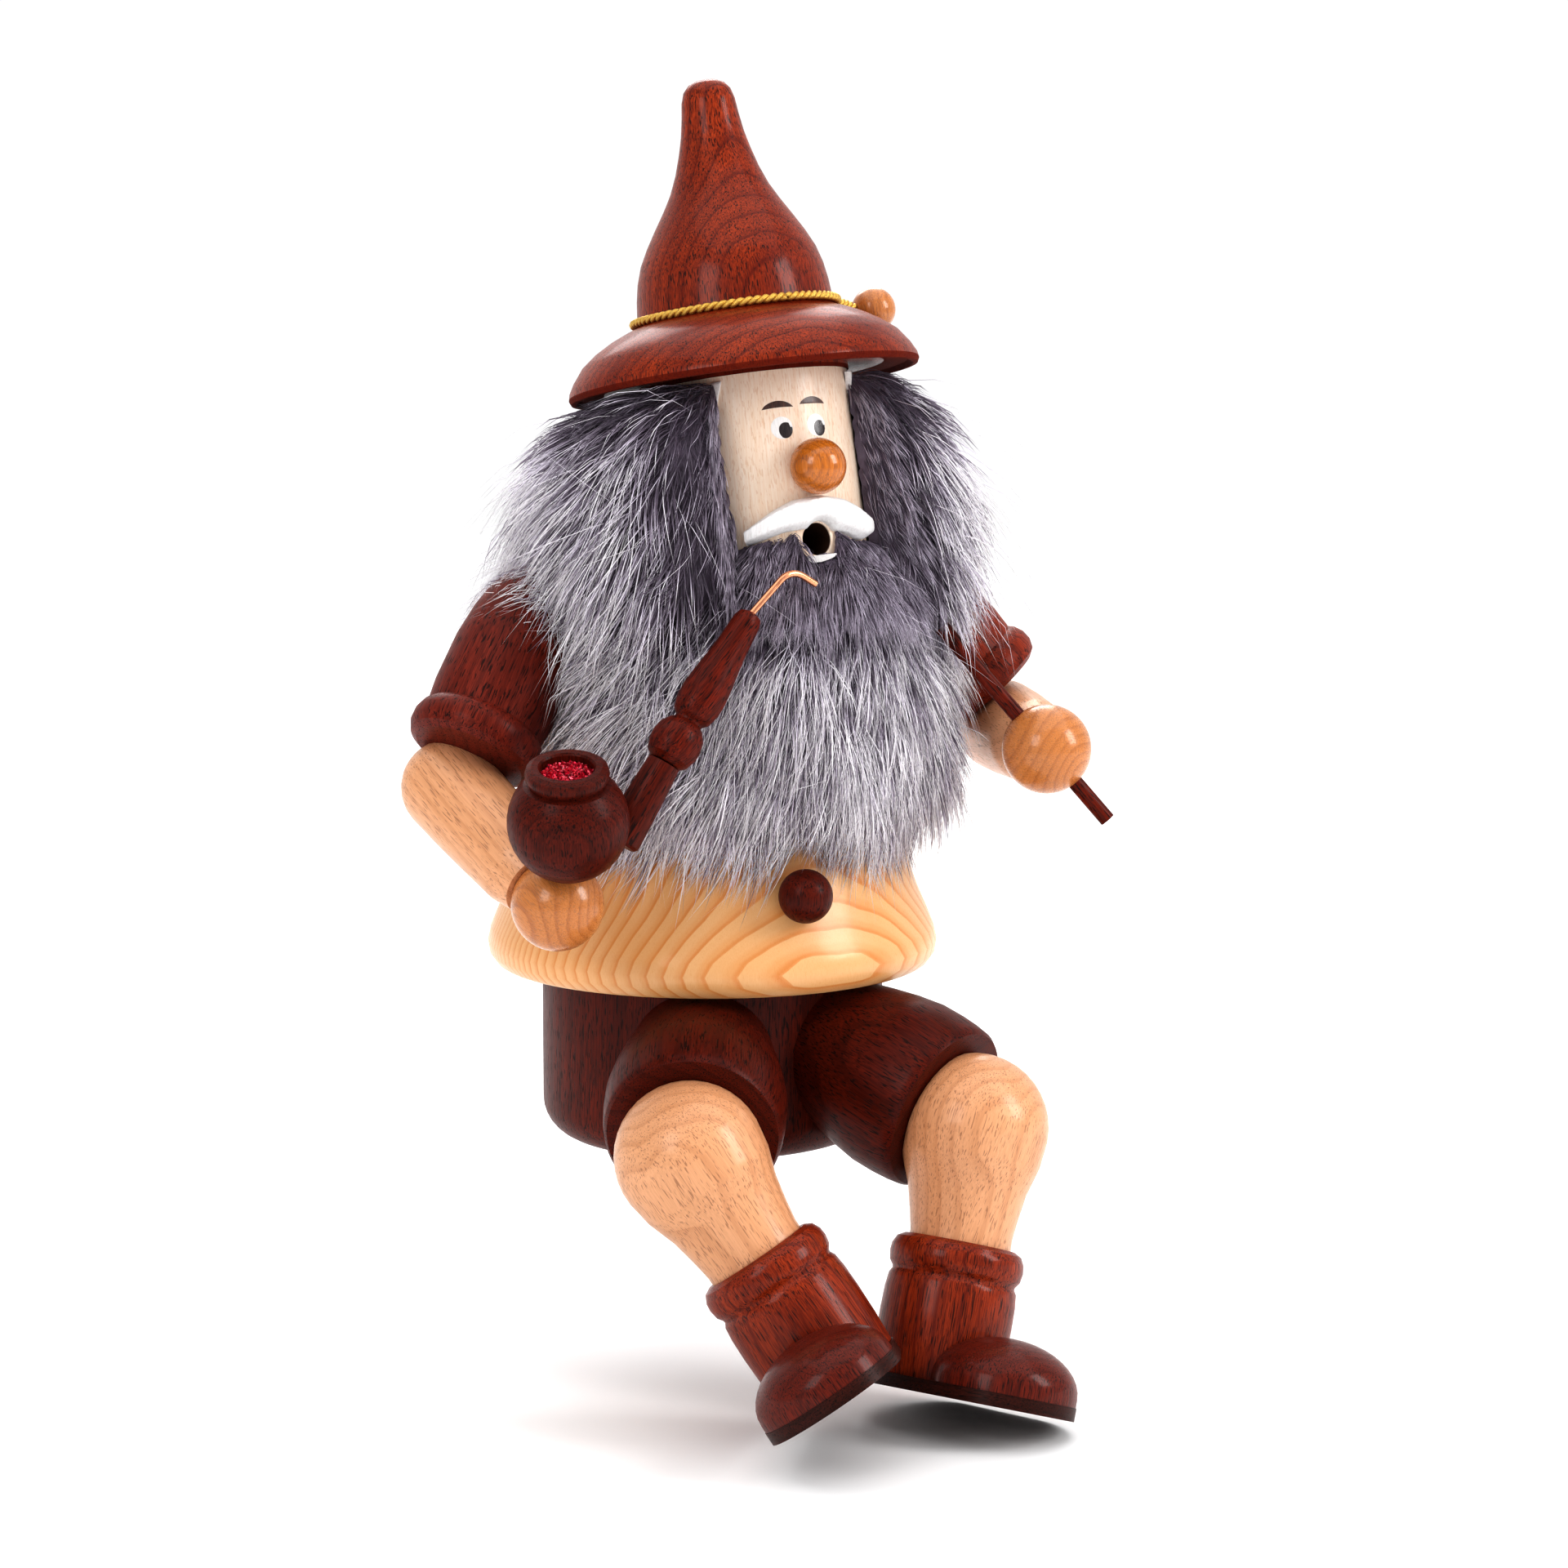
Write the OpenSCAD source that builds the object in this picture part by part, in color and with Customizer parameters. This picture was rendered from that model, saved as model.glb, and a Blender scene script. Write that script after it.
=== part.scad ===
// Turned-wood smoker figure that sits on the edge of a shelf.
// +Z is up, the figure faces -Y and its left hand is on +X.
// The origin is the centre of the underside of the seat drum; the legs hang below it.

/* [Seat and trunk] */
// Radius of the drum the figure sits on
seat_r = 45.5; // [44:0.5:48]
// Height of the seat drum
seat_h = 46.5; // [44:0.5:50]
// Radius of the rounded lower edge of the drum
seat_edge_r = 10; // [6:1:12]
// Radius of the turned step that centres the trunk on the seat
spigot_r = 40; // [38:0.5:40]
// Height of the centring step
spigot_h = 8; // [6:0.5:9]
// Radius of the incense tray
tray_r = 17; // [15:0.5:20]
// Diameter of the round button on the chest
button_d = 14; // [12:0.5:16]

/* [Legs] */
// Height on the drum axis where the two thigh axes meet
hip_z = 43; // [42:0.5:44]
// Angle of each thigh away from straight ahead
thigh_splay = 28; // [27:0.5:32]
// Angle of each thigh below the horizontal
thigh_drop = 19.8; // [19:0.1:22]
// Distance along the thigh axis from the drum axis to the knee face
thigh_reach = 81; // [80:0.5:86]
// Largest radius of the thigh barrel
thigh_r = 23.4; // [22:0.1:23.5]
// Angle between the thigh axis and the shin
knee_angle = 67; // [60:1:80]
// Turn of the right shin about its thigh, towards the middle
right_leg_turn = 38; // [20:1:38]
// Turn of the left shin about its thigh, towards the middle
left_leg_turn = 20; // [0:1:21]
// Radius of the round knee of the shin
knee_r = 19.2; // [18:0.1:20]
// Radius of the ankle
ankle_r = 13.2; // [12:0.1:13.6]
// Distance from the knee centre down to the top of the boot
shin_length = 30; // [28:0.5:34]
// Height of the boot shaft from its cuff to the sole
boot_h = 36; // [34:0.5:38]
// Thickness of the sole
sole_t = 3.5; // [3:0.25:5]
// Twist of each boot about its shin, towards the middle
boot_twist = 14; // [0:1:20]
// Forward pitch of the left boot on its shin
left_boot_pitch = 4; // [0:0.5:6]

/* [Head and hat] */
// Centre of the brim plane
brim_at = [3, -14.5, 201.7];
// Turn of the head to the figure's left
head_yaw = 5.5; // [0:0.5:12]
// Backward lean of the head and hat
head_lean = 11.2; // [8:0.5:15]
// Sideways tilt of the head and hat to the figure's right
head_tilt = 2; // [0:0.5:4]
// Radius of the head
head_r = 26.8; // [25:0.1:28]
// Length of the head below the brim
head_h = 55; // [52:1:56]
// Diameter of the ball nose
nose_d = 14.5; // [12:0.5:16]
// Radius of the round mouth that lets the smoke out
mouth_r = 4.2; // [4:0.1:5]
// Radius of the hat brim
brim_r = 46; // [45:0.5:48]
// Height of the hat from brim to tip
hat_h = 79.5; // [78:0.5:84]
// Thickness of the hat cord
cord_d = 2.2; // [1.8:0.1:2.6]
// Diameter of the bead on the cord's end
hat_bead_d = 11.7; // [10:0.1:13]

/* [Arms] */
// Centre of the right shoulder, elbow end and hand
right_shoulder = [-52, -8, 146];
right_cuff = [-75.5, -21, 112.5];
right_elbow = [-81.6, -18, 100.8];
right_hand = [-69, -59.5, 76];
// Centre of the left shoulder, elbow end and hand
left_shoulder = [52, -4, 144];
left_cuff = [72.6, -14, 119.8];
left_elbow = [81.5, -10.5, 106.5];
left_hand = [69, -59.5, 107];
// Largest radius of the sleeve
sleeve_r = 16.2; // [15:0.1:17]
// Radius of the rolled cuff
cuff_r = 17.6; // [17:0.1:19]
// Radius of the forearm at the elbow
forearm_r = 12.4; // [11:0.1:13]
// Radius of the ball hand
hand_r = 11.7; // [11:0.1:12.5]

/* [Pipe and staff] */
// Centre of the pipe bowl
bowl_at = [-71.5, -73, 99];
// Radius of the pipe bowl
bowl_r = 15.2; // [14:0.1:15.5]
// Forward tip of the bowl
bowl_tip = 20; // [0:1:25]
// Radius of the tobacco hole
bowl_hole_r = 6.8; // [6:0.1:7.5]
// Foot of the shank where it leaves the bowl
shank_foot = [-57.5, -71.5, 92.5];
// Joint between the shank and the stem
stem_foot = [-45, -71.3, 111.8];
// Mouth end of the stem
stem_top = [-18.7, -66, 147.3];
// Bend and free end of the wire mouthpiece
wire_bend = [-6.6, -63.7, 158];
wire_end = [0.8, -62.5, 153.6];
// Radius of the mouthpiece wire
wire_r = 0.9; // [0.7:0.1:1.1]
// Radius of the staff
staff_r = 2.05; // [1.8:0.05:2.2]
// Lower and upper reach of the staff from the centre of the left hand
staff_low = 24.5; // [18:0.5:30]
staff_up = 42; // [36:0.5:44]

/* [Fits] */
// Gap all round a glued dowel
glue_gap = 0.05; // [0.02:0.01:0.1]
// Radial clearance of a turning or sliding fit
run_gap = 0.08; // [0.02:0.01:0.1]
// Space between pieces that move past each other
move_gap = 0.4; // [0.3:0.1:0.6]

/* [Hidden] */
$fn = 64;
right = -1;
left = 1;
eps = 0.01;

dark_brown = "#4a1e12";
red_brown = "#7a2c17";
pale_beech = "#d9ad7c";
maple = "#ecd6ae";
pine = "#efcf95";
honey = "#c98a45";
fur_grey = "#a3a5ab";

trunk_z = seat_h + move_gap;
trunk_h = 100;
tray_t = 1.2;
tray_recess = 1;
spigot_top = seat_h + spigot_h;
chamber_r = spigot_r + 0.5;
button_up = 26;
button_y = -58.5;
peg_r = 2.5;
dowel_r = 3;
knee_dowel_r = 4;
knee_offset = 10;
socket_depth = 6;
sleeve_past = 4.5;
toe_ahead = 23.4;
toe_r = 18.8;
toe_h = 14.2;
heel_r = 16.9;
nose_down = 26;
mouth_down = 44.2;
smoke_bore_r = 10;
smoke_hole_at = [5, -22];
smoke_hole_r = 5;
neck_dowel_back = 17;
wire_bend_r = 6;
cord_up = 18.3;
cord_ring_r = 27;
bead_out = 42;
bead_up = 16.6;
moustache_top = -33.3;
moustache_top_r = 30.5;
moustache_under = -41;
moustache_under_r = 58;
moustache_t = 4.2;
moustache_sweep = 78;
air_hole_r = 4;
air_hole_up = 26;
beard_top_sweep = 82;
beard_sweep = 120;
beard_wide_top = 90;
hair_gap = 94;
nape_gap = 124;

function unit(v) = v / norm(v);
function mix(a, b, t) = a * (1 - t) + b * t;
function arc(cx, cz, r, from, to, steps) =
  [for (i = [0 : steps]) let (a = from + (to - from) * i / steps) [cx + r * cos(a), cz + r * sin(a)]];

// The staff runs down, out and forward through the left hand.
staff_dir = unit([16.2, -9.5, -21.6]);

// ---------- placing helpers ----------

// Puts the local +Z axis on the line from a to b, starting at a.
module between(a, b) {
  v = b - a;
  translate(a)
    rotate([0, acos(v[2] / norm(v)), atan2(v[1], v[0])])
      children();
}

// Plain round rod from a to b.
module rod(a, b, r) {
  between(a, b)
    cylinder(h = norm(b - a), r = r);
}

// Thigh frame: +Z runs from the drum axis out along the thigh.
module at_hip(side) {
  translate([0, 0, hip_z])
    rotate([90 + thigh_drop, 0, side * thigh_splay])
      children();
}

function leg_turn(side) = side == right ? right_leg_turn : -left_leg_turn;

// Shin frame: origin at the knee centre, -Z down the shin, -Y towards the toes.
module at_knee(side) {
  at_hip(side)
    rotate([0, 0, leg_turn(side)])
      translate([0, 0, thigh_reach + knee_offset])
        rotate([knee_angle - 180, 0, 0])
          children();
}

module at_boot(side) {
  at_knee(side)
    translate([0, 0, -shin_length])
      rotate([side == left ? left_boot_pitch : 0, 0, 0])
        rotate([0, 0, -side * boot_twist])
          children();
}

// Head frame: origin at the brim centre, +Z towards the hat's tip, -Y out of the face.
module at_head() {
  translate(brim_at)
    rotate([0, 0, head_yaw])
      rotate([-head_lean, -head_tilt, 0])
        children();
}

// ---------- seat ----------

module seat_outline() {
  polygon(concat(
    [[0, 0]],
    arc(seat_r - seat_edge_r, seat_edge_r, seat_edge_r, -90, 0, 8),
    [[seat_r, seat_h - 1], [seat_r - 1, seat_h], [spigot_r, seat_h],
     [spigot_r, spigot_top - 1], [spigot_r - 1, spigot_top], [0, spigot_top]]));
}

module hip_dowel_solid(side, gap = 0) {
  at_hip(side)
    translate([0, 0, 28 - gap])
      cylinder(h = 38 + 2 * gap, r = dowel_r + gap);
}

module seat_block() {
  color(dark_brown)
    difference() {
      rotate_extrude($fn = 96)
        seat_outline();
      translate([0, 0, spigot_top - tray_recess])
        cylinder(h = 4, r = tray_r + 0.5);
      hip_dowel_solid(right, glue_gap);
      hip_dowel_solid(left, glue_gap);
    }
}

// Shallow metal dish that the incense cone burns on.
module incense_tray() {
  color("silver")
    translate([0, 0, spigot_top - tray_recess + 0.1])
      rotate_extrude()
        polygon([[0, 0], [tray_r - 2, 0], [tray_r, 2.6], [tray_r - 1, 2.9],
                 [tray_r - 2.6, tray_t], [0, tray_t]]);
}

// ---------- legs ----------

module thigh_outline() {
  polygon([[0, 30], [16, 30], [19.4, 46], [20.9, 52], [22.4, 59], [thigh_r, 66],
           [thigh_r, thigh_reach - 9], [thigh_r - 0.3, thigh_reach - 4.5],
           [thigh_r - 0.8, thigh_reach - 1.2], [thigh_r - 1.6, thigh_reach], [0, thigh_reach]]);
}

module knee_dowel_solid(side, gap = 0, end_gap = 0) {
  at_hip(side)
    translate([0, 0, thigh_reach - 14 - end_gap])
      cylinder(h = 26 + 2 * end_gap, r = knee_dowel_r + gap);
}

module thigh(side) {
  color(dark_brown)
    difference() {
      at_hip(side)
        rotate_extrude($fn = 72)
          thigh_outline();
      translate([0, 0, -60])
        cylinder(h = 160, r = seat_r + glue_gap, $fn = 96);
      // Each thigh stops just short of the other one.
      translate([side * (move_gap / 2 - 30), 0, 0])
        cube([60, 300, 200], center = true);
      hip_dowel_solid(side, glue_gap);
      knee_dowel_solid(side, glue_gap, 0.2);
    }
}

module hip_dowel(side) {
  color(pale_beech)
    hip_dowel_solid(side);
}

module knee_dowel(side) {
  color(pale_beech)
    knee_dowel_solid(side);
}

module shin_outline() {
  polygon(concat(
    [[0, -shin_length - socket_depth], [ankle_r, -shin_length - socket_depth],
     [ankle_r, -shin_length + 2], [ankle_r + 0.8, -shin_length + 7], [ankle_r + 2.2, -16],
     [knee_r - 1.2, -8.5]],
    arc(0, 0, knee_r, -14, 90, 11)));
}

module ankle_dowel_solid(side, gap = 0) {
  at_knee(side)
    translate([0, 0, -shin_length - 16 - gap])
      cylinder(h = 24 + 2 * gap, r = dowel_r + gap);
}

module shin(side) {
  color(pale_beech)
    difference() {
      at_knee(side)
        rotate_extrude($fn = 72)
          shin_outline();
      // The knee is sawn flat where it meets the thigh.
      at_hip(side)
        translate([0, 0, thigh_reach + move_gap - 40])
          cylinder(h = 40, r = 60);
      knee_dowel_solid(side, run_gap, 0.5);
      ankle_dowel_solid(side, glue_gap);
    }
}

module ankle_dowel(side) {
  color(pale_beech)
    ankle_dowel_solid(side);
}

module shaft_outline(grow = 0) {
  polygon([[0, 0], [14.4 + grow, 0], [16.2 + grow, -1], [17.2 + grow, -3], [17.4 + grow, -5],
           [17 + grow, -7.4], [16 + grow, -8.8], [15.9 + grow, -9.4], [16.6 + grow, -10.6],
           [17 + grow, -14], [17.1 + grow, -20], [16.9 + grow, -28], [16.5 + grow, -boot_h],
           [0, -boot_h]]);
}

module boot_shaft(side) {
  color(red_brown)
    difference() {
      at_boot(side)
        rotate_extrude($fn = 72)
          shaft_outline();
      at_knee(side)
        translate([0, 0, -shin_length - socket_depth - 0.1])
          cylinder(h = 20, r = ankle_r + glue_gap);
      ankle_dowel_solid(side, glue_gap);
    }
}

module boot_toe(side) {
  color(dark_brown)
    at_boot(side)
      difference() {
        translate([0, -toe_ahead, -boot_h])
          rotate_extrude($fn = 72)
            polygon(concat(
              [[0, 0], [toe_r, 0]],
              [for (i = [0 : 10]) [toe_r * cos(i * 9), 2 + (toe_h - 2) * sin(i * 9)]]));
        translate([0, 0, -boot_h - 1])
          cylinder(h = boot_h + 2, r = 17.2);
      }
}

module boot_sole(side) {
  color(dark_brown)
    at_boot(side)
      translate([0, 0, -boot_h - sole_t])
        linear_extrude(sole_t - 0.02)
          hull() {
            circle(r = heel_r, $fn = 48);
            translate([0, -toe_ahead])
              circle(r = toe_r + 0.2, $fn = 48);
          }
}

// ---------- trunk ----------

module trunk_outline(grow = 0) {
  polygon([[0, -grow], [56.8 + grow, -grow], [57.8 + grow, 0.6], [59.5 + grow, 3],
           [60 + grow, 6], [59.2 + grow, 9.6], [57 + grow, 15], [54.8 + grow, 20],
           [52.7 + grow, 26], [49.6 + grow, 38], [46.6 + grow, 52], [43.8 + grow, 66],
           [41.3 + grow, 80], [38.8 + grow, 90], [35.5 + grow, 96 + grow],
           [30 + grow, 99 + grow], [22, trunk_h + grow], [0, trunk_h + grow]]);
}

module trunk_solid(grow = 0) {
  translate([0, 0, trunk_z])
    rotate_extrude($fn = 96)
      trunk_outline(grow);
}

// Hollow inside the trunk where the incense cone stands.
module smoke_chamber() {
  translate([0, 0, trunk_z - 1])
    rotate_extrude($fn = 96)
      polygon([[0, 0], [chamber_r, 0], [chamber_r, 11], [36, 20], [31, 48], [23, 68],
               [12, 78], [0, 80]]);
}

module head_solid(grow = 0, extra = 0) {
  at_head()
    translate([0, 0, -head_h - grow])
      cylinder(h = head_h + grow + extra, r = head_r + grow, $fn = 96);
}

module neck_dowel_solid(gap = 0) {
  at_head()
    translate([0, neck_dowel_back, -head_h - 9 - gap])
      cylinder(h = 18 + 2 * gap, r = peg_r + gap);
}

module button_solid(gap = 0) {
  translate([0, button_y, trunk_z + button_up]) {
    sphere(d = button_d + 2 * gap);
    rotate([-90, 0, 0])
      cylinder(h = 13 + gap, r = peg_r + gap);
  }
}

function arm_mid(side) = side == right ? mix(right_shoulder, right_cuff, 0.34)
                                       : mix(left_shoulder, left_cuff, 0.4);

// The dowel runs level from the trunk's solid top into the sleeve.
module shoulder_dowel_solid(side, gap = 0) {
  p = arm_mid(side);
  inner = [p[0] * 0.5, p[1] * 0.5, p[2]];
  v = unit(p - inner);
  rod(inner - v * gap, p + v * (4 + gap), dowel_r + gap);
}

module torso() {
  color(pine)
    difference() {
      trunk_solid();
      smoke_chamber();
      head_solid(glue_gap, 30);
      translate([smoke_hole_at[0], smoke_hole_at[1], trunk_z + 50])
        cylinder(h = 60, r = smoke_hole_r);
      translate([0, 20, trunk_z + air_hole_up])
        rotate([-90, 0, 0])
          rotate([0, 0, 45])
            cylinder(h = 60, r = air_hole_r);
      button_solid(glue_gap);
      neck_dowel_solid(glue_gap);
      shoulder_dowel_solid(right, glue_gap);
      shoulder_dowel_solid(left, glue_gap);
    }
}

module button() {
  color(dark_brown)
    button_solid();
}

module neck_dowel() {
  color(pale_beech)
    neck_dowel_solid();
}

// ---------- head ----------

module nose_solid(gap = 0) {
  at_head()
    translate([0, -head_r - nose_d / 2 + 2.2, -nose_down])
      union() {
        sphere(d = nose_d + 2 * gap);
        rotate([-90, 0, 0])
          cylinder(h = 13 + gap, r = peg_r + gap);
      }
}

module mouth_hole(r) {
  at_head()
    translate([0, 0, -mouth_down])
      rotate([90, 0, 0])
        cylinder(h = 60, r = r);
}

module head() {
  color(maple)
    difference() {
      head_solid();
      at_head()
        translate([0, 0, -head_h - 1])
          cylinder(h = 17, r = smoke_bore_r);
      mouth_hole(mouth_r);
      nose_solid(glue_gap);
      neck_dowel_solid(glue_gap);
    }
}

module nose() {
  color(honey)
    nose_solid();
}

// Drooping crescent of white wood that wraps round the front of the face.
module moustache() {
  color("white")
    difference() {
      at_head()
        intersection() {
          rotate([0, 0, -90 - moustache_sweep / 2])
            rotate_extrude(angle = moustache_sweep, $fn = 96)
              polygon([[head_r - 2, -mouth_down - 8], [head_r + moustache_t, -mouth_down - 8],
                       [head_r + moustache_t, -mouth_down + 16], [head_r - 2, -mouth_down + 16]]);
          translate([0, 0, moustache_top - moustache_top_r])
            rotate([90, 0, 0])
              cylinder(h = 60, r = moustache_top_r, $fn = 96);
        }
      at_head()
        translate([0, 1, moustache_under - moustache_under_r])
          rotate([90, 0, 0])
            cylinder(h = 62, r = moustache_under_r, $fn = 120);
      head_solid(glue_gap);
      mouth_hole(mouth_r + 0.2);
    }
}

// ---------- hat ----------

module hat_outline() {
  polygon([[0, 0.05], [head_r + 0.6, 0.05], [head_r + 0.6, 1.6], [brim_r - 3, 0.6],
           [brim_r - 1.6, -0.6], [brim_r - 0.5, -0.5], [brim_r, 0.6], [brim_r - 0.3, 2.2],
           [44.3, 4.8], [41.6, 8.4], [38, 11.3], [33.6, 13.9], [29.6, 15.7], [27, 16.7],
           [25.9, 17.5], [25.6, 20], [25.2, 24], [24.4, 28.5], [23, 33], [20.8, 37.4],
           [18.2, 41.8], [15.4, 46.3], [13, 50.6], [11, 55.5], [9.5, 60.4], [8.3, 65.2],
           [7.5, 70], [7, 74], [6.2, hat_h - 2.9], [4.7, hat_h - 1.1], [2.5, hat_h - 0.2],
           [0, hat_h]]);
}

module hat() {
  color(red_brown)
    at_head()
      rotate_extrude($fn = 96)
        hat_outline();
}

module hat_cord() {
  color("goldenrod")
    at_head()
      translate([0, 0, cord_up]) {
        rotate_extrude($fn = 96)
          translate([cord_ring_r, 0])
            circle(d = cord_d, $fn = 16);
        rod([cord_ring_r, 0, 0], [bead_out - hat_bead_d / 2 + 0.6, 0, bead_up - cord_up],
            cord_d / 2 - eps);
      }
}

module hat_bead() {
  color(honey)
    at_head()
      difference() {
        translate([bead_out, 0, bead_up])
          sphere(d = hat_bead_d);
        rod([cord_ring_r, 0, cord_up], [bead_out - 2, 0, bead_up], cord_d / 2 + 0.1);
      }
}

// ---------- fur ----------

// Wig: a strip of fur from one temple round the back of the head to the other.
module wig_band(grow = 0) {
  at_head()
    rotate([0, 0, -90 + hair_gap / 2 - grow])
      rotate_extrude(angle = 360 - hair_gap + 2 * grow, $fn = 60)
        polygon([[head_r + 0.1, -1.2], [38, -1.2], [46, -9], [53, -20], [56 + grow, -34],
                 [56 + grow, -50], [52 + grow, -60 - grow], [head_r + 0.1, -60 - grow]]);
}

module hair_fur() {
  color(fur_grey)
    difference() {
      wig_band();
      trunk_solid(0.2);
      sleeve_solid(right, 0.2);
      sleeve_solid(left, 0.2);
      shoulder_dowel_solid(right, 0.2);
      shoulder_dowel_solid(left, 0.2);
    }
}

// The wig's long hair, which hangs over the shoulders and the nape.
module nape_fur() {
  color(fur_grey)
    difference() {
      translate([0, 0, trunk_z])
        rotate([0, 0, -90 + nape_gap / 2])
          rotate_extrude(angle = 360 - nape_gap, $fn = 60)
            polygon([[30, 64], [57, 64], [60, 74], [57, 96], [48, 106], [30, 106]]);
      wig_band(0.4);
      at_head()
        translate([0, 0, -80])
          cylinder(h = 90, r = head_r + 8);
      trunk_solid(0.2);
      sleeve_solid(right, 0.2);
      sleeve_solid(left, 0.2);
      shoulder_dowel_solid(right, 0.2);
      shoulder_dowel_solid(left, 0.2);
    }
}

// Fur beard glued under the mouth: narrow between the wig's ends, wider over the chest.
module beard_fur() {
  color(fur_grey)
    difference() {
      translate([0, 0, trunk_z]) {
        rotate([0, 0, -90 - beard_top_sweep / 2])
          rotate_extrude(angle = beard_top_sweep, $fn = 60)
            polygon([[36, beard_wide_top - 1], [62, beard_wide_top - 1], [60, 99], [57, 108],
                     [52, 112], [36, 112]]);
        rotate([0, 0, -90 - beard_sweep / 2])
          rotate_extrude(angle = beard_sweep, $fn = 60)
            polygon([[42, 33], [56, 30], [61, 40], [64, 56], [64, 76], [62, beard_wide_top],
                     [36, beard_wide_top]]);
      }
      head_solid(0.3, 0);
      trunk_solid(0.3);
      wig_band(0.4);
      button_solid(0.4);
      sleeve_solid(right, 0.2);
      sleeve_solid(left, 0.2);
      // The staff's upper end lies in a parting of the fur.
      rod(left_hand - staff_dir * (staff_up + 12), left_hand, staff_r + 0.6);
    }
}

// ---------- arms ----------

function shoulder_at(side) = side == right ? right_shoulder : left_shoulder;
function cuff_at(side) = side == right ? right_cuff : left_cuff;
function elbow_at(side) = side == right ? right_elbow : left_elbow;
function hand_at(side) = side == right ? right_hand : left_hand;

// Sleeve: a rounded shoulder that widens to a rolled cuff.
module sleeve_solid(side, grow = 0) {
  a = shoulder_at(side);
  b = cuff_at(side);
  l = norm(b - a) + sleeve_past;
  between(a, b)
    rotate_extrude($fn = 72)
      polygon([[0, -9 - grow], [6 + grow, -7.6 - grow], [10.6 + grow, -4], [13.6 + grow, 2],
               [15.2 + grow, 9], [sleeve_r + grow, 18], [sleeve_r + grow, l - 16],
               [sleeve_r - 0.6 + grow, l - 9.6], [cuff_r - 0.9 + grow, l - 8.4],
               [cuff_r + grow, l - 6], [cuff_r + grow, l - 3.4],
               [cuff_r - 1 + grow, l - 1.2], [cuff_r - 3 + grow, l], [0, l + grow]]);
}

// Plain cylinder that ends in the plane of the sleeve's open end.
module sleeve_end(side, gap) {
  a = shoulder_at(side);
  b = cuff_at(side);
  v = unit(b - a);
  rod(b - v * 12, b + v * (sleeve_past + gap), 24);
}

module elbow_dowel_solid(side, gap = 0) {
  a = shoulder_at(side);
  b = cuff_at(side);
  v = unit(b - a);
  rod(b - v * (9 + gap), b + v * (13 + gap), dowel_r + gap);
}

module wrist_dowel_solid(side, gap = 0) {
  a = elbow_at(side);
  b = hand_at(side);
  v = unit(b - a);
  rod(b - v * (22 + gap), b - v * (6 - gap), peg_r + gap);
}

module sleeve(side) {
  color(dark_brown)
    difference() {
      sleeve_solid(side);
      trunk_solid(glue_gap);
      shoulder_dowel_solid(side, glue_gap);
      elbow_dowel_solid(side, glue_gap);
    }
}

module forearm(side) {
  a = elbow_at(side);
  b = hand_at(side);
  l = norm(b - a);
  color(pale_beech)
    difference() {
      between(a, b)
        rotate_extrude($fn = 72)
          polygon(concat(
            arc(0, 0, forearm_r, -90, 0, 8),
            [[forearm_r - 0.3, 14], [forearm_r - 1.3, l - 16], [forearm_r - 3, l - 9], [0, l - 8]]));
      sleeve_end(side, glue_gap);
      translate(b)
        sphere(r = hand_r + glue_gap);
      elbow_dowel_solid(side, glue_gap);
      wrist_dowel_solid(side, glue_gap);
    }
}

module hand(side) {
  color(honey)
    difference() {
      translate(hand_at(side))
        sphere(r = hand_r);
      wrist_dowel_solid(side, glue_gap);
      if (side == left)
        rod(left_hand - staff_dir * 20, left_hand + staff_dir * 20, staff_r + run_gap);
      if (side == right) {
        pipe_peg_solid(glue_gap);
        bowl_ball(glue_gap);
      }
    }
}

module shoulder_dowel(side) {
  color(pale_beech)
    shoulder_dowel_solid(side);
}

module elbow_dowel(side) {
  color(pale_beech)
    elbow_dowel_solid(side);
}

module wrist_dowel(side) {
  color(pale_beech)
    wrist_dowel_solid(side);
}

// ---------- pipe ----------

// Bowl frame: origin at the bowl centre, +Z out of the tobacco hole.
module at_bowl() {
  translate(bowl_at)
    rotate([0, 0, -25])
      rotate([bowl_tip, 0, 0])
        children();
}

module bowl_ball(gap = 0) {
  translate(bowl_at)
    sphere(r = bowl_r + gap);
}

module pipe_peg_solid(gap = 0) {
  v = unit(bowl_at - right_hand);
  rod(right_hand + v * (5 - gap), right_hand + v * (20 + gap), 2 + gap);
}

module bowl_outline() {
  polygon(concat(
    arc(0, 0, bowl_r, -90, 44, 14),
    [[9.6, 11], [9.8, 11.6], [10.3, 12.4], [10.5, 13.6], [10.1, 14.9], [8.8, 15.6],
     [7.2, 15.5], [bowl_hole_r, 14.9], [bowl_hole_r, 5], [0, 4]]));
}

module pipe_bowl() {
  color(dark_brown)
    difference() {
      at_bowl()
        rotate_extrude($fn = 72)
          bowl_outline();
      pipe_peg_solid(glue_gap);
    }
}

// Glitter that stands for the glowing tobacco.
module pipe_ember() {
  color("crimson")
    at_bowl()
      rotate_extrude()
        polygon([[0, 5.5], [bowl_hole_r - glue_gap, 5.5], [bowl_hole_r - glue_gap, 11.6],
                 [4, 12.3], [0, 12.5]]);
}

module pipe_shank() {
  l = norm(stem_foot - shank_foot);
  color(dark_brown)
    difference() {
      between(shank_foot, stem_foot)
        rotate_extrude($fn = 48)
          polygon([[0, 0], [4.4, 0], [5.1, 0.8], [5, 7], [4.5, l - 4], [4.2, l], [0, l]]);
      bowl_ball(glue_gap);
      stem_solid(glue_gap);
    }
}

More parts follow.
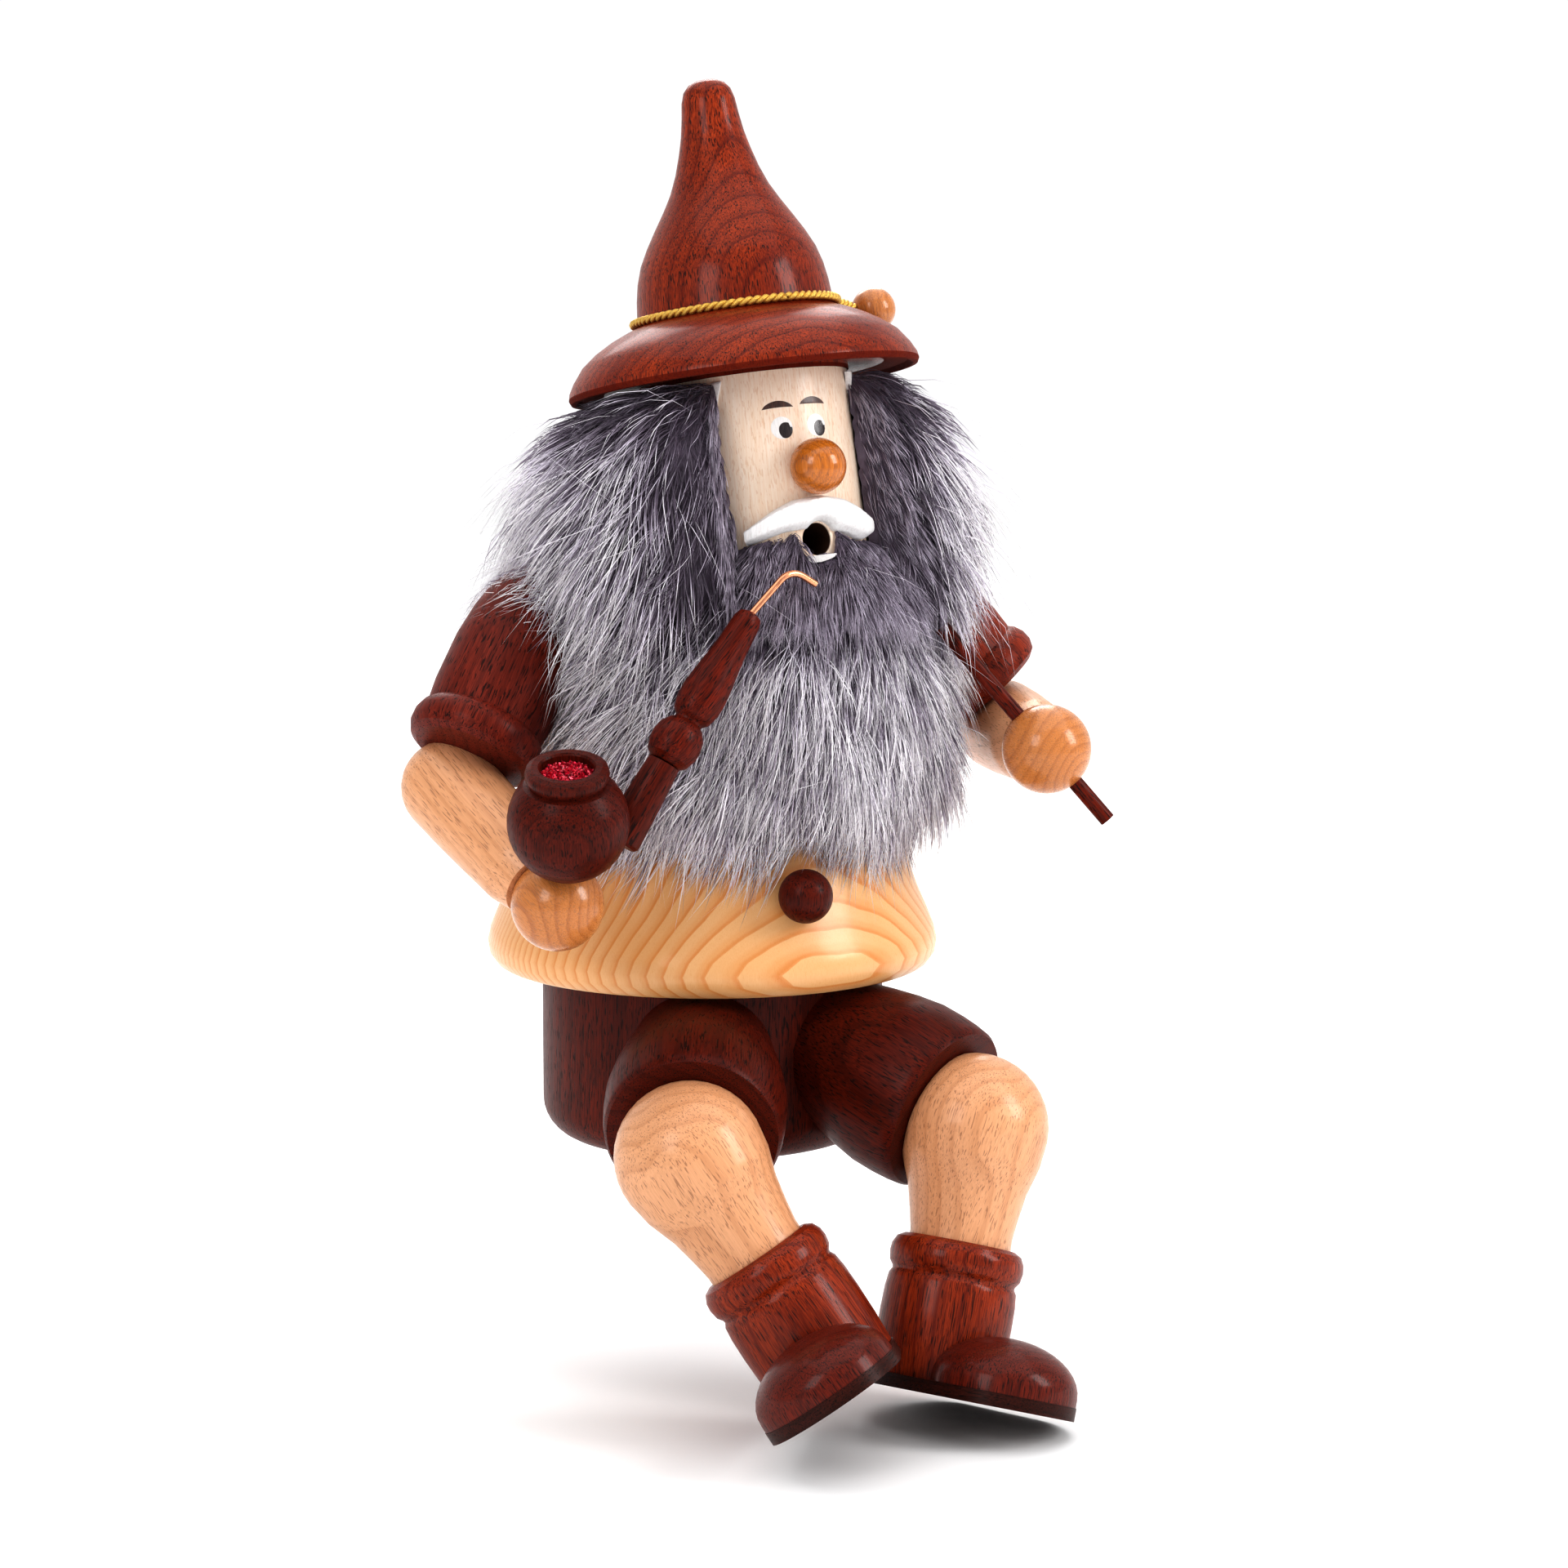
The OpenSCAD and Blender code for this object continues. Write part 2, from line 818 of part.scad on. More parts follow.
// Stem of one bead and one long drop, turned as a single piece.
module stem_solid(gap = 0) {
  l = norm(stem_top - stem_foot);
  between(stem_foot, stem_top)
    rotate_extrude($fn = 48)
      polygon([[0, -gap], [3.8 + gap, -gap], [5.6 + gap, 1.6], [6.5 + gap, 4.2], [6.6 + gap, 6.6],
               [6 + gap, 9.2], [4.6 + gap, 11.2], [3.6 + gap, 12], [3.7 + gap, 12.6],
               [5 + gap, 14], [5.8 + gap, 17], [5.9 + gap, 20.6], [5.4 + gap, 25],
               [4.6 + gap, 30.6], [4 + gap, 36], [3.6 + gap, l - 2.4], [3 + gap, l - 0.6],
               [2 + gap, l], [0, l]]);
}

module pipe_stem() {
  color(dark_brown)
    difference() {
      stem_solid();
      rod(stem_top - unit(wire_bend - stem_top) * 7.1, wire_bend, wire_r + glue_gap);
    }
}

// Tube swept along a bend in one plane: stops holds pairs of centre and direction, n is the
// normal of the plane.
module swept_wire(stops, n, r) {
  sides = 16;
  rings = len(stops);
  points = [for (s = stops) for (k = [0 : sides - 1])
    s[0] + r * (cos(360 * k / sides) * n + sin(360 * k / sides) * cross(s[1], n))];
  walls = [for (i = [0 : rings - 2]) for (k = [0 : sides - 1])
    [i * sides + k, i * sides + (k + 1) % sides,
     (i + 1) * sides + (k + 1) % sides, (i + 1) * sides + k]];
  first = [for (k = [0 : sides - 1]) sides - 1 - k];
  last = [for (k = [0 : sides - 1]) (rings - 1) * sides + k];
  polyhedron(points, concat(walls, [first, last]));
}

// Bent wire: straight out of the stem, one round bend, straight down to the lips.
module pipe_wire() {
  d1 = unit(wire_bend - stem_top);
  d2 = unit(wire_end - wire_bend);
  turn = acos(d1 * d2);
  tangent = wire_bend_r * tan(turn / 2);
  inward = unit(d2 - d1 * (d1 * d2));
  c = wire_bend - d1 * tangent + inward * wire_bend_r;
  steps = 10;
  bend = [for (i = [0 : steps])
    let (a = turn * i / steps)
      [c + wire_bend_r * (d1 * sin(a) - inward * cos(a)), d1 * cos(a) + inward * sin(a)]];
  color("peru")
    swept_wire(concat([[stem_top - d1 * 7, d1]], bend, [[wire_end, d2]]),
               cross(d1, inward), wire_r);
}

module pipe_peg() {
  color(pale_beech)
    pipe_peg_solid();
}

// ---------- staff ----------

module staff() {
  color(dark_brown)
    rod(left_hand - staff_dir * staff_up, left_hand + staff_dir * staff_low, staff_r);
}

seat_block();
incense_tray();
thigh(right);  // thigh_right
thigh(left);  // thigh_left
hip_dowel(right);  // hip_dowel_right
hip_dowel(left);  // hip_dowel_left
knee_dowel(right);  // knee_dowel_right
knee_dowel(left);  // knee_dowel_left
shin(right);  // shin_right
shin(left);  // shin_left
ankle_dowel(right);  // ankle_dowel_right
ankle_dowel(left);  // ankle_dowel_left
boot_shaft(right);  // boot_shaft_right
boot_shaft(left);  // boot_shaft_left
boot_toe(right);  // boot_toe_right
boot_toe(left);  // boot_toe_left
boot_sole(right);  // boot_sole_right
boot_sole(left);  // boot_sole_left
torso();
button();
neck_dowel();
head();
nose();
moustache();
hat();
hat_cord();
hat_bead();
hair_fur();
nape_fur();
beard_fur();
shoulder_dowel(right);  // shoulder_dowel_right
shoulder_dowel(left);  // shoulder_dowel_left
sleeve(right);  // sleeve_right
sleeve(left);  // sleeve_left
elbow_dowel(right);  // elbow_dowel_right
elbow_dowel(left);  // elbow_dowel_left
forearm(right);  // forearm_right
forearm(left);  // forearm_left
wrist_dowel(right);  // wrist_dowel_right
wrist_dowel(left);  // wrist_dowel_left
hand(right);  // hand_right
hand(left);  // hand_left
pipe_peg();
pipe_bowl();
pipe_ember();
pipe_shank();
pipe_stem();
pipe_wire();
staff();
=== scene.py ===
import math

import bpy
import numpy as np
from mathutils import Matrix, Vector


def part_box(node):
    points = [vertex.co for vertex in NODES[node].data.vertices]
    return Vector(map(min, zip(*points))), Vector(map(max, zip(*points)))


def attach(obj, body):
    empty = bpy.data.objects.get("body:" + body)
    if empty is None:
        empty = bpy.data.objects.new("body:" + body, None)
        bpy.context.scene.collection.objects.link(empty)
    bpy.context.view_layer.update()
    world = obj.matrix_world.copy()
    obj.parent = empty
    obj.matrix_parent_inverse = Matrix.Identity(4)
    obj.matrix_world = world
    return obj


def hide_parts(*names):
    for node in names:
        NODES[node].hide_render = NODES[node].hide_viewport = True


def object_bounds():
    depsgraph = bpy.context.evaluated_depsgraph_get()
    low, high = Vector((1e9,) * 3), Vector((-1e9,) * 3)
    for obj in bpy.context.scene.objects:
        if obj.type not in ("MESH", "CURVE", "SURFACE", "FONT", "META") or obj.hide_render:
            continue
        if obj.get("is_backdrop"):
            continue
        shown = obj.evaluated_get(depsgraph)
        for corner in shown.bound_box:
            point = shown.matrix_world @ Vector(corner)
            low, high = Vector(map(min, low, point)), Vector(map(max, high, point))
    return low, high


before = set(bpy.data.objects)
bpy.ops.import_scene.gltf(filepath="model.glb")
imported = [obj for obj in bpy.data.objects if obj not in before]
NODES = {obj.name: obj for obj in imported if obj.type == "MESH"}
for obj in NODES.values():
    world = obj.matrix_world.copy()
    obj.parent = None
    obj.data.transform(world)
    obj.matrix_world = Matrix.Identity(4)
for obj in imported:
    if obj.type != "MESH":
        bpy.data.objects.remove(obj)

cad_lo, cad_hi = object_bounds()
scene = bpy.context.scene
MM = 0.001


# ---------- frames of the turned pieces, as in the CAD ----------

def turn(x=0.0, y=0.0, z=0.0):
    """Rotation about X, then Y, then Z, in degrees."""
    rx = Matrix.Rotation(math.radians(x), 3, "X")
    ry = Matrix.Rotation(math.radians(y), 3, "Y")
    rz = Matrix.Rotation(math.radians(z), 3, "Z")
    return rz @ ry @ rx


def along(direction):
    """Rotation that takes +Z onto a direction."""
    return Vector(direction).normalized().to_track_quat("Z", "Y").to_matrix()


def centre(node):
    lo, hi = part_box(node)
    return (Vector(lo) + Vector(hi)) / 2


HEAD_R, HEAD_H = 0.0268, 0.055
HEAD_ROT = turn(z=5.5) @ turn(x=-11.2, y=-2.0)
HEAD_AT = centre("head") + HEAD_ROT @ Vector((0, 0, HEAD_H / 2))
HEAD_M = np.array(HEAD_ROT)
HEAD_O = np.array(HEAD_AT)
TRUNK_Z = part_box("torso")[0][2]

HIP = Vector((0, 0, 0.043))
THIGH_ROT = {side: turn(x=109.8, z=28.0 * s) for side, s in (("right", -1), ("left", 1))}
SHIN_ROT = {
    "right": THIGH_ROT["right"] @ turn(z=38.0) @ turn(x=-113.0),
    "left": THIGH_ROT["left"] @ turn(z=-20.0) @ turn(x=-113.0),
}
KNEE = {side: HIP + THIGH_ROT[side] @ Vector((0, 0, 0.091)) for side in ("right", "left")}
ARM = {
    "right": [Vector(p) * MM for p in ((-52, -8, 146), (-75.5, -21, 112.5), (-81.6, -18, 100.8),
                                       (-69, -59.5, 76))],
    "left": [Vector(p) * MM for p in ((52, -4, 144), (72.6, -14, 119.8), (81.5, -10.5, 106.5),
                                      (69, -59.5, 107))],
}
BOWL_AT = Vector((-71.5, -73, 99)) * MM
BOWL_ROT = turn(z=-25.0) @ turn(x=20.0)
SHANK = [Vector(p) * MM for p in ((-57.5, -71.5, 92.5), (-45, -71.3, 111.8), (-18.7, -66, 147.3))]
WIRE_BEND, WIRE_END = Vector((-6.6, -63.7, 158)) * MM, Vector((0.8, -62.5, 153.6)) * MM
STAFF_DIR = Vector((16.2, -9.5, -21.6)).normalized()


def round_points(phi, z, r):
    """Points round the Z axis in metres: degrees from the front, + to the figure's left, then mm."""
    phi, z, r = np.broadcast_arrays(*(np.asarray(v, float) for v in (phi, z, r)))
    a = np.radians(phi)
    return np.stack([r * np.sin(a), -r * np.cos(a), z], -1) * MM


def head_points(phi, z, r):
    """Row-frame points round the head's axis, with heights from the head's top."""
    return round_points(phi, z, r) @ HEAD_M.T + HEAD_O


def trunk_points(phi, z, r):
    """Row-frame points round the trunk's axis, with heights above the trunk's lower edge."""
    return round_points(phi, z, r) + np.array([0, 0, TRUNK_Z])


# ---------- meshes ----------

def in_scene(name, data):
    obj = bpy.data.objects.new(name, data)
    scene.collection.objects.link(obj)
    return obj


def new_mesh(name, verts, polys, material, body="upper", smooth=True):
    """A piece from a vertex array and a list of face arrays, riding on a body."""
    mesh = bpy.data.meshes.new(name)
    verts = np.asarray(verts, np.float32)
    polys = [np.asarray(p, np.int32) for p in polys if len(p)]
    mesh.vertices.add(len(verts))
    mesh.vertices.foreach_set("co", verts.ravel())
    sizes = np.concatenate([np.full(len(p), p.shape[1], np.int32) for p in polys])
    mesh.loops.add(int(sizes.sum()))
    mesh.loops.foreach_set("vertex_index", np.concatenate([p.ravel() for p in polys]))
    mesh.polygons.add(len(sizes))
    starts = np.concatenate([[0], np.cumsum(sizes)[:-1]]).astype(np.int32)
    mesh.polygons.foreach_set("loop_start", starts)
    mesh.update(calc_edges=True)
    mesh.validate()
    mesh.polygons.foreach_set("use_smooth", np.full(len(mesh.polygons), smooth))
    mesh.materials.append(material)
    obj = in_scene(name, mesh)
    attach(obj, body)
    return obj


def grid_faces(rows, cols, wrap=False):
    """Quads of a grid of points, row by row."""
    i, j = np.meshgrid(np.arange(rows - 1), np.arange(cols if wrap else cols - 1), indexing="ij")
    k = (j + 1) % cols
    return np.stack([i * cols + j, i * cols + k, (i + 1) * cols + k, (i + 1) * cols + j],
                    -1).reshape(-1, 4)


def tube(path, radius, sides, closed=False):
    """Vertices and quads of a tube along a path, with a steady frame."""
    path = np.asarray(path, float)
    n = len(path)
    if closed:
        tangent = np.roll(path, -1, 0) - np.roll(path, 1, 0)
    else:
        tangent = np.gradient(path, axis=0)
    tangent /= np.linalg.norm(tangent, axis=1, keepdims=True)
    side = np.cross(tangent[0], [0.3, 0.2, 0.9])
    frames = []
    for t in tangent:
        side = side - t * (side @ t)
        side /= np.linalg.norm(side)
        frames.append((side, np.cross(t, side)))
    a = np.linspace(0, 2 * math.pi, sides, endpoint=False)
    radius = np.broadcast_to(radius, (n,))
    rings = [path[i] + radius[i] * (np.outer(np.cos(a), frames[i][0])
                                    + np.outer(np.sin(a), frames[i][1])) for i in range(n)]
    faces = grid_faces(n, sides, wrap=True)
    if closed:
        j = np.arange(sides)
        k = (j + 1) % sides
        last = (n - 1) * sides
        faces = np.concatenate([faces, np.stack([last + j, last + k, k, j], -1)])
    return np.concatenate(rings), faces


def attribute(obj, name, values):
    layer = obj.data.attributes.new(name, "FLOAT", "POINT")
    layer.data.foreach_set("value", np.asarray(values, np.float32))


# ---------- node trees ----------

class Shader:
    """A material whose shader's steady values are set on its own sockets."""

    def __init__(self, name, **steady):
        self.material = bpy.data.materials.new(name)
        self.material.use_nodes = True
        self.tree = self.material.node_tree
        self.tree.nodes.clear()
        out = self.add("OutputMaterial")
        self.bsdf = self.add("BsdfPrincipled")
        self.link(self.bsdf.outputs[0], out.inputs[0])
        for key, value in steady.items():
            self.bsdf.inputs[key.replace("_", " ")].default_value = value

    def add(self, kind, **settings):
        node = self.tree.nodes.new("ShaderNode" + kind)
        for key, value in settings.items():
            setattr(node, key, value)
        return node

    def link(self, a, b):
        self.tree.links.new(a, b)

    def put(self, value, socket):
        """A socket or a steady value into an input."""
        if isinstance(value, bpy.types.NodeSocket):
            self.link(value, socket)
        else:
            socket.default_value = value

    def feed(self, name, value):
        self.put(value, self.bsdf.inputs[name])

    def local(self, at=(0, 0, 0), rot=None):
        """Coordinates in mm, with Z along the grain."""
        coord = self.add("TexCoord")
        mapping = self.add("Mapping", vector_type="TEXTURE")
        mapping.inputs["Location"].default_value = at
        if rot is not None:
            mapping.inputs["Rotation"].default_value = rot.to_euler()
        mapping.inputs["Scale"].default_value = (MM, MM, MM)
        self.link(coord.outputs["Object"], mapping.inputs["Vector"])
        return mapping.outputs["Vector"]

    def vector(self, op, a, b=(0, 0, 0)):
        node = self.add("VectorMath", operation=op)
        self.put(a, node.inputs[0])
        self.put(b, node.inputs[1])
        return node.outputs["Value" if op in ("LENGTH", "DOT_PRODUCT") else "Vector"]

    def math(self, op, a, b=0.0):
        node = self.add("Math", operation=op)
        self.put(a, node.inputs[0])
        self.put(b, node.inputs[1])
        return node.outputs[0]

    def noise(self, vector, stretch=(1, 1, 1), detail=2.0, rough=0.5, colour=False):
        node = self.add("TexNoise")
        node.inputs["Scale"].default_value = 1.0
        node.inputs["Detail"].default_value = detail
        node.inputs["Roughness"].default_value = rough
        self.link(self.vector("MULTIPLY", vector, stretch), node.inputs["Vector"])
        return node.outputs["Color" if colour else "Fac"]

    def ramp(self, value, stops, kind="LINEAR"):
        """Grey or coloured stops at positions from 0 to 1."""
        node = self.add("ValToRGB")
        node.color_ramp.interpolation = kind
        items = node.color_ramp.elements
        while len(items) < len(stops):
            items.new(0.5)
        for item, (at, colour) in zip(items, stops):
            item.position = at
            if isinstance(colour, (int, float)):
                colour = (colour,) * 3
            item.color = (*colour, 1)
        self.put(value, node.inputs[0])
        return node.outputs[0]

    def mix(self, factor, a, b):
        node = self.add("Mix", data_type="RGBA")
        self.put(factor, node.inputs[0])
        for value, socket in ((a, node.inputs[6]), (b, node.inputs[7])):
            self.put((*value, 1) if isinstance(value, tuple) else value, socket)
        return node.outputs[2]

    def parts(self, vector):
        node = self.add("SeparateXYZ")
        self.link(vector, node.inputs[0])
        return node.outputs

    def flat_length(self, vector):
        """Distance from the Z axis."""
        return self.vector("LENGTH", self.vector("MULTIPLY", vector, (1, 1, 0)))

    def bump(self, height, distance, strength=1.0):
        node = self.add("Bump")
        node.inputs["Strength"].default_value = strength
        node.inputs["Distance"].default_value = distance
        self.put(height, node.inputs["Height"])
        self.feed("Normal", node.outputs[0])


# ---------- wood ----------

def growth(s, grain, spacing, warp, drift):
    """Growth-ring phase: 0 just after a ring's dark edge, 1 at the next one."""
    wobble = s.noise(grain, (0.035, 0.035, 0.0105), 2, 0.5, colour=True)
    offset = s.vector("MULTIPLY", s.vector("SUBTRACT", wobble, (0.5, 0.5, 0.5)),
                      (2 * warp, 2 * warp, 0))
    reach = s.flat_length(s.vector("ADD", grain, offset))
    slow = s.noise(s.vector("ADD", grain, offset), (0.05, 0.05, 0.004), 1, 0.5)
    count = s.math("ADD", s.math("DIVIDE", reach, spacing), s.math("MULTIPLY", slow, drift))
    return s.math("FRACT", count)


def pith(rot, at, offset):
    """A point on the tree's centre line, given beside the piece's own axis in mm."""
    return Vector(at) + rot @ (Vector((offset[0], offset[1], 0)) * MM)


def wood(name, at, rot, offset, look, tilt=(0, 0)):
    """Turned wood. look: colours and strengths of rings, fibres, flecks and gloss."""
    s = Shader(name, Roughness=look["rough"], Coat_Weight=look["coat"], Coat_Roughness=look["coat_rough"],
               Specular_IOR_Level=look.get("gloss", 0.4))
    grain_rot = rot @ turn(x=tilt[0], y=tilt[1])
    grain = s.local(pith(rot, at, offset), grain_rot)
    rings = growth(s, grain, look["spacing"], look.get("warp", 2.0), look.get("drift", 3.0))
    late = s.ramp(rings, look["ring_shape"], "EASE")
    fibre = s.noise(grain, look.get("fibre", (3.0, 3.0, 0.10)), 3, 0.6)
    blotch = s.noise(grain, (0.07, 0.07, 0.03), 3, 0.55)
    colour = s.mix(s.math("MULTIPLY", late, look["ring"]), look["pale"], look["late"])
    colour = s.mix(s.ramp(blotch, [(0.3, 0.0), (0.75, look["blotch"])]), colour, look["cloud"])
    colour = s.mix(s.ramp(fibre, [(0.38, look["streak"]), (0.62, 0.0)]), colour, look["late"])
    fleck = s.noise(grain, look.get("fleck_size", (2.6, 2.6, 0.42)), 1, 0.4)
    low = look["fleck_from"]
    mask = s.ramp(fleck, [(low, 0.0), (low + 0.06, 1.0)])
    colour = s.mix(s.math("MULTIPLY", mask, look["fleck"]), colour, look["fleck_colour"])
    if "dark_patch" in look:
        # The smoke hole's wall is painted near-black: height of its axis and radius, in mm, inside the
        # piece's own radius.
        height, radius, inside = look["dark_patch"]
        plain = s.local(at, rot)
        gap = s.vector("LENGTH", s.vector("MULTIPLY", s.vector("SUBTRACT", plain, (0, 0, height)),
                                          (1, 0, 1)))
        hole = s.math("MULTIPLY", s.math("LESS_THAN", gap, radius),
                      s.math("LESS_THAN", s.flat_length(plain), inside))
        colour = s.mix(hole, colour, (0.050, 0.020, 0.012))
    rough = s.ramp(s.math("ADD", fibre, s.math("MULTIPLY", mask, 0.25)),
                   [(0.3, look["rough"] - 0.05), (0.8, look["rough"] + 0.13)])
    if "shaded_dull_below" in look:
        # The hat's underside: its colour is painted darker toward the late-wood colour as painted shade, and
        # it is made rougher with no coat so it has no gloss.
        under = s.math("LESS_THAN", s.parts(s.local(at, rot))[2], look["shaded_dull_below"])
        colour = s.mix(s.math("MULTIPLY", under, 0.8), colour, look["late"])
        rough = s.math("MAXIMUM", rough, s.math("MULTIPLY", under, 0.85))
        s.feed("Coat Weight", s.math("MULTIPLY", s.math("SUBTRACT", 1.0, under), look["coat"]))
    s.feed("Base Color", colour)
    s.feed("Roughness", rough)
    height = s.math("SUBTRACT", s.math("MULTIPLY", fibre, 0.6), s.math("MULTIPLY", mask, 0.8))
    height = s.math("SUBTRACT", height, s.math("MULTIPLY", late, look.get("ring_relief", 0.1)))
    s.bump(height, look["relief"] * MM, 0.8)
    return s.material


BEECH = dict(
    pale=(0.79, 0.43, 0.235), late=(0.52, 0.225, 0.090), cloud=(0.68, 0.34, 0.165), spacing=3.4,
    ring=0.55, ring_shape=[(0.0, 0.35), (0.12, 0.0), (0.6, 0.1), (0.9, 0.7), (1.0, 0.9)],
    blotch=0.5, streak=0.28, fleck=0.62, fleck_from=0.60, fleck_colour=(0.30, 0.12, 0.05),
    fleck_size=(3.2, 3.2, 0.26), rough=0.34, coat=0.25, coat_rough=0.18, relief=0.05)
MAPLE = dict(
    BEECH, pale=(0.93, 0.80, 0.68), late=(0.82, 0.58, 0.39), cloud=(0.89, 0.71, 0.55), spacing=2.2,
    ring=0.30, streak=0.45, fleck=0.30, fleck_from=0.58, fleck_colour=(0.66, 0.36, 0.18),
    fleck_size=(2.2, 2.2, 0.5), blotch=0.4, relief=0.04)
PINE = dict(
    BEECH, pale=(0.83, 0.50, 0.235), late=(0.70, 0.255, 0.050), cloud=(0.79, 0.42, 0.165), spacing=2.55,
    ring=0.85, ring_shape=[(0.0, 0.0), (0.40, 0.06), (0.72, 0.45), (0.93, 1.0), (1.0, 0.75)],
    streak=0.12, fibre=(5.0, 5.0, 0.10), fleck=0.0, blotch=0.3, rough=0.30, coat=0.3, warp=0.7,
    drift=0.7, relief=0.03, ring_relief=-0.3)
HONEY = dict(
    BEECH, pale=(0.64, 0.205, 0.020), late=(0.26, 0.062, 0.006), cloud=(0.72, 0.26, 0.035), spacing=1.3,
    ring=0.75, streak=0.35, fleck=0.5, fleck_colour=(0.20, 0.06, 0.012), rough=0.24, coat=0.6,
    coat_rough=0.10, blotch=0.5, warp=0.5, drift=0.8)
HAND = dict(
    BEECH, pale=(0.61, 0.240, 0.066), late=(0.36, 0.110, 0.024), cloud=(0.69, 0.29, 0.09), spacing=2.4,
    ring=0.8, fleck=0.5, rough=0.27, coat=0.45, coat_rough=0.12)
DARK = dict(
    BEECH, pale=(0.165, 0.015, 0.0035), late=(0.045, 0.0035, 0.001), cloud=(0.080, 0.007, 0.002),
    spacing=3.6, ring=0.75, streak=0.75, fleck=0.85, fleck_from=0.59, fleck_colour=(0.008, 0.001, 0.0005),
    fleck_size=(2.4, 2.4, 0.30), blotch=0.8, rough=0.40, coat=0.07, coat_rough=0.24, relief=0.06,
    gloss=0.12)
RED = dict(
    DARK, pale=(0.43, 0.056, 0.009), late=(0.11, 0.008, 0.002), cloud=(0.19, 0.016, 0.004),
    fleck_colour=(0.016, 0.002, 0.001), fleck_size=(3.0, 3.0, 0.17), fibre=(3.5, 3.5, 0.07),
    ring=0.85, ring_shape=[(0.0, 0.9), (0.07, 0.15), (0.5, 0.0), (0.85, 0.3), (1.0, 1.0)], warp=1.2,
    drift=1.2, spacing=3.0, rough=0.36, coat=0.25, coat_rough=0.16, gloss=0.12, relief=0.10)
SLEEVE = dict(
    DARK, pale=(0.245, 0.029, 0.013), late=(0.085, 0.008, 0.004), cloud=(0.13, 0.013, 0.006))
SOLE = dict(DARK, pale=(0.070, 0.012, 0.007), late=(0.018, 0.004, 0.002), cloud=(0.035, 0.007, 0.004))
RAW = dict(BEECH, coat=0.0, rough=0.6)


def dress(node, material, angle=28.0):
    """Gives a CAD piece its material, smooth faces and sharp edges."""
    obj = NODES[node]
    obj.data.materials.clear()
    obj.data.materials.append(material)
    obj.data.polygons.foreach_set("material_index", np.zeros(len(obj.data.polygons), np.int32))
    obj.data.polygons.foreach_set("use_smooth", np.ones(len(obj.data.polygons), bool))
    weld = obj.modifiers.new("weld", "WELD")
    weld.merge_threshold = 1e-6
    split = obj.modifiers.new("split", "EDGE_SPLIT")
    split.split_angle = math.radians(angle)


def dress_wood(node, at, rot, look, offset=(30, 8), tilt=(2, 1)):
    dress(node, wood(node + "_wood", at, rot, offset, look, tilt))


UP = Matrix.Identity(3)
dress_wood("torso", (0, 0, TRUNK_Z), UP, PINE, offset=(-15.5, 110), tilt=(0, 0))
dress_wood("seat_block", (0, 0, 0), UP, DARK, offset=(10, 34))
dress_wood("head", HEAD_AT, HEAD_ROT, dict(MAPLE, dark_patch=(-44.2, 4.9, 26.3)), offset=(-30, 20))
dress_wood("hat", HEAD_AT, HEAD_ROT, dict(RED, shaded_dull_below=1.0), offset=(2, 70), tilt=(0, 0))
dress_wood("nose", centre("nose"), HEAD_ROT, HONEY, offset=(26, 9))
dress_wood("button", centre("button"), UP, DARK, offset=(14, 6))
dress_wood("hat_bead", centre("hat_bead"), HEAD_ROT, HAND, offset=(6, -8))
for side, sign in (("right", -1), ("left", 1)):
    shoulder, cuff, elbow, hand = ARM[side]
    dress_wood("thigh_" + side, HIP, THIGH_ROT[side], DARK, offset=(20 * sign, -12))
    dress_wood("shin_" + side, KNEE[side], SHIN_ROT[side], BEECH, offset=(-3 * sign, 16), tilt=(9, 4))
    dress_wood("boot_shaft_" + side, KNEE[side], SHIN_ROT[side], RED, offset=(9 * sign, 26))
    dress_wood("boot_toe_" + side, KNEE[side], SHIN_ROT[side],
               dict(RED, pale=(0.17, 0.019, 0.008), late=(0.055, 0.006, 0.003)), offset=(6 * sign, 4))
    dress_wood("boot_sole_" + side, KNEE[side], SHIN_ROT[side] @ turn(x=90), SOLE, offset=(0, 60))
    # The left sleeve gets a lighter, redder base colour than the right: painted light, standing in for the
    # brighter light on that side.
    dress_wood("sleeve_" + side, shoulder, along(cuff - shoulder),
               SLEEVE if sign < 0 else dict(SLEEVE, pale=(0.42, 0.052, 0.012)), offset=(14 * sign, 14))
    dress_wood("forearm_" + side, elbow, along(hand - elbow), BEECH, offset=(-22, 9 * sign))
    dress_wood("hand_" + side, hand, along(hand - elbow), HAND, offset=(8, -6 * sign))
    for joint, at, rot in (("hip", HIP, THIGH_ROT[side]), ("knee", HIP, THIGH_ROT[side]),
                           ("ankle", KNEE[side], SHIN_ROT[side]),
                           ("shoulder", shoulder, along((1, 0, 0))),
                           ("elbow", shoulder, along(cuff - shoulder)),
                           ("wrist", elbow, along(hand - elbow))):
        dress_wood(f"{joint}_dowel_{side}", at, rot, RAW)
dress_wood("neck_dowel", centre("neck_dowel"), HEAD_ROT, RAW)
dress_wood("pipe_peg", centre("pipe_peg"), along((0, -1, 2)), RAW)
dress_wood("pipe_bowl", BOWL_AT, BOWL_ROT, dict(DARK, pale=(0.16, 0.015, 0.005), warp=0.8, drift=0.8,
                                                  spacing=2.4, ring=0.9), offset=(0, 45))
dress_wood("pipe_shank", SHANK[0], along(SHANK[1] - SHANK[0]), DARK, offset=(6, 8))
dress_wood("pipe_stem", SHANK[1], along(SHANK[2] - SHANK[1]),
           dict(DARK, pale=(0.22, 0.019, 0.0045)), offset=(3, 9), tilt=(8, 0))
dress_wood("staff", centre("staff"), along(STAFF_DIR), dict(DARK, pale=(0.25, 0.022, 0.005)))


# ---------- metal ----------

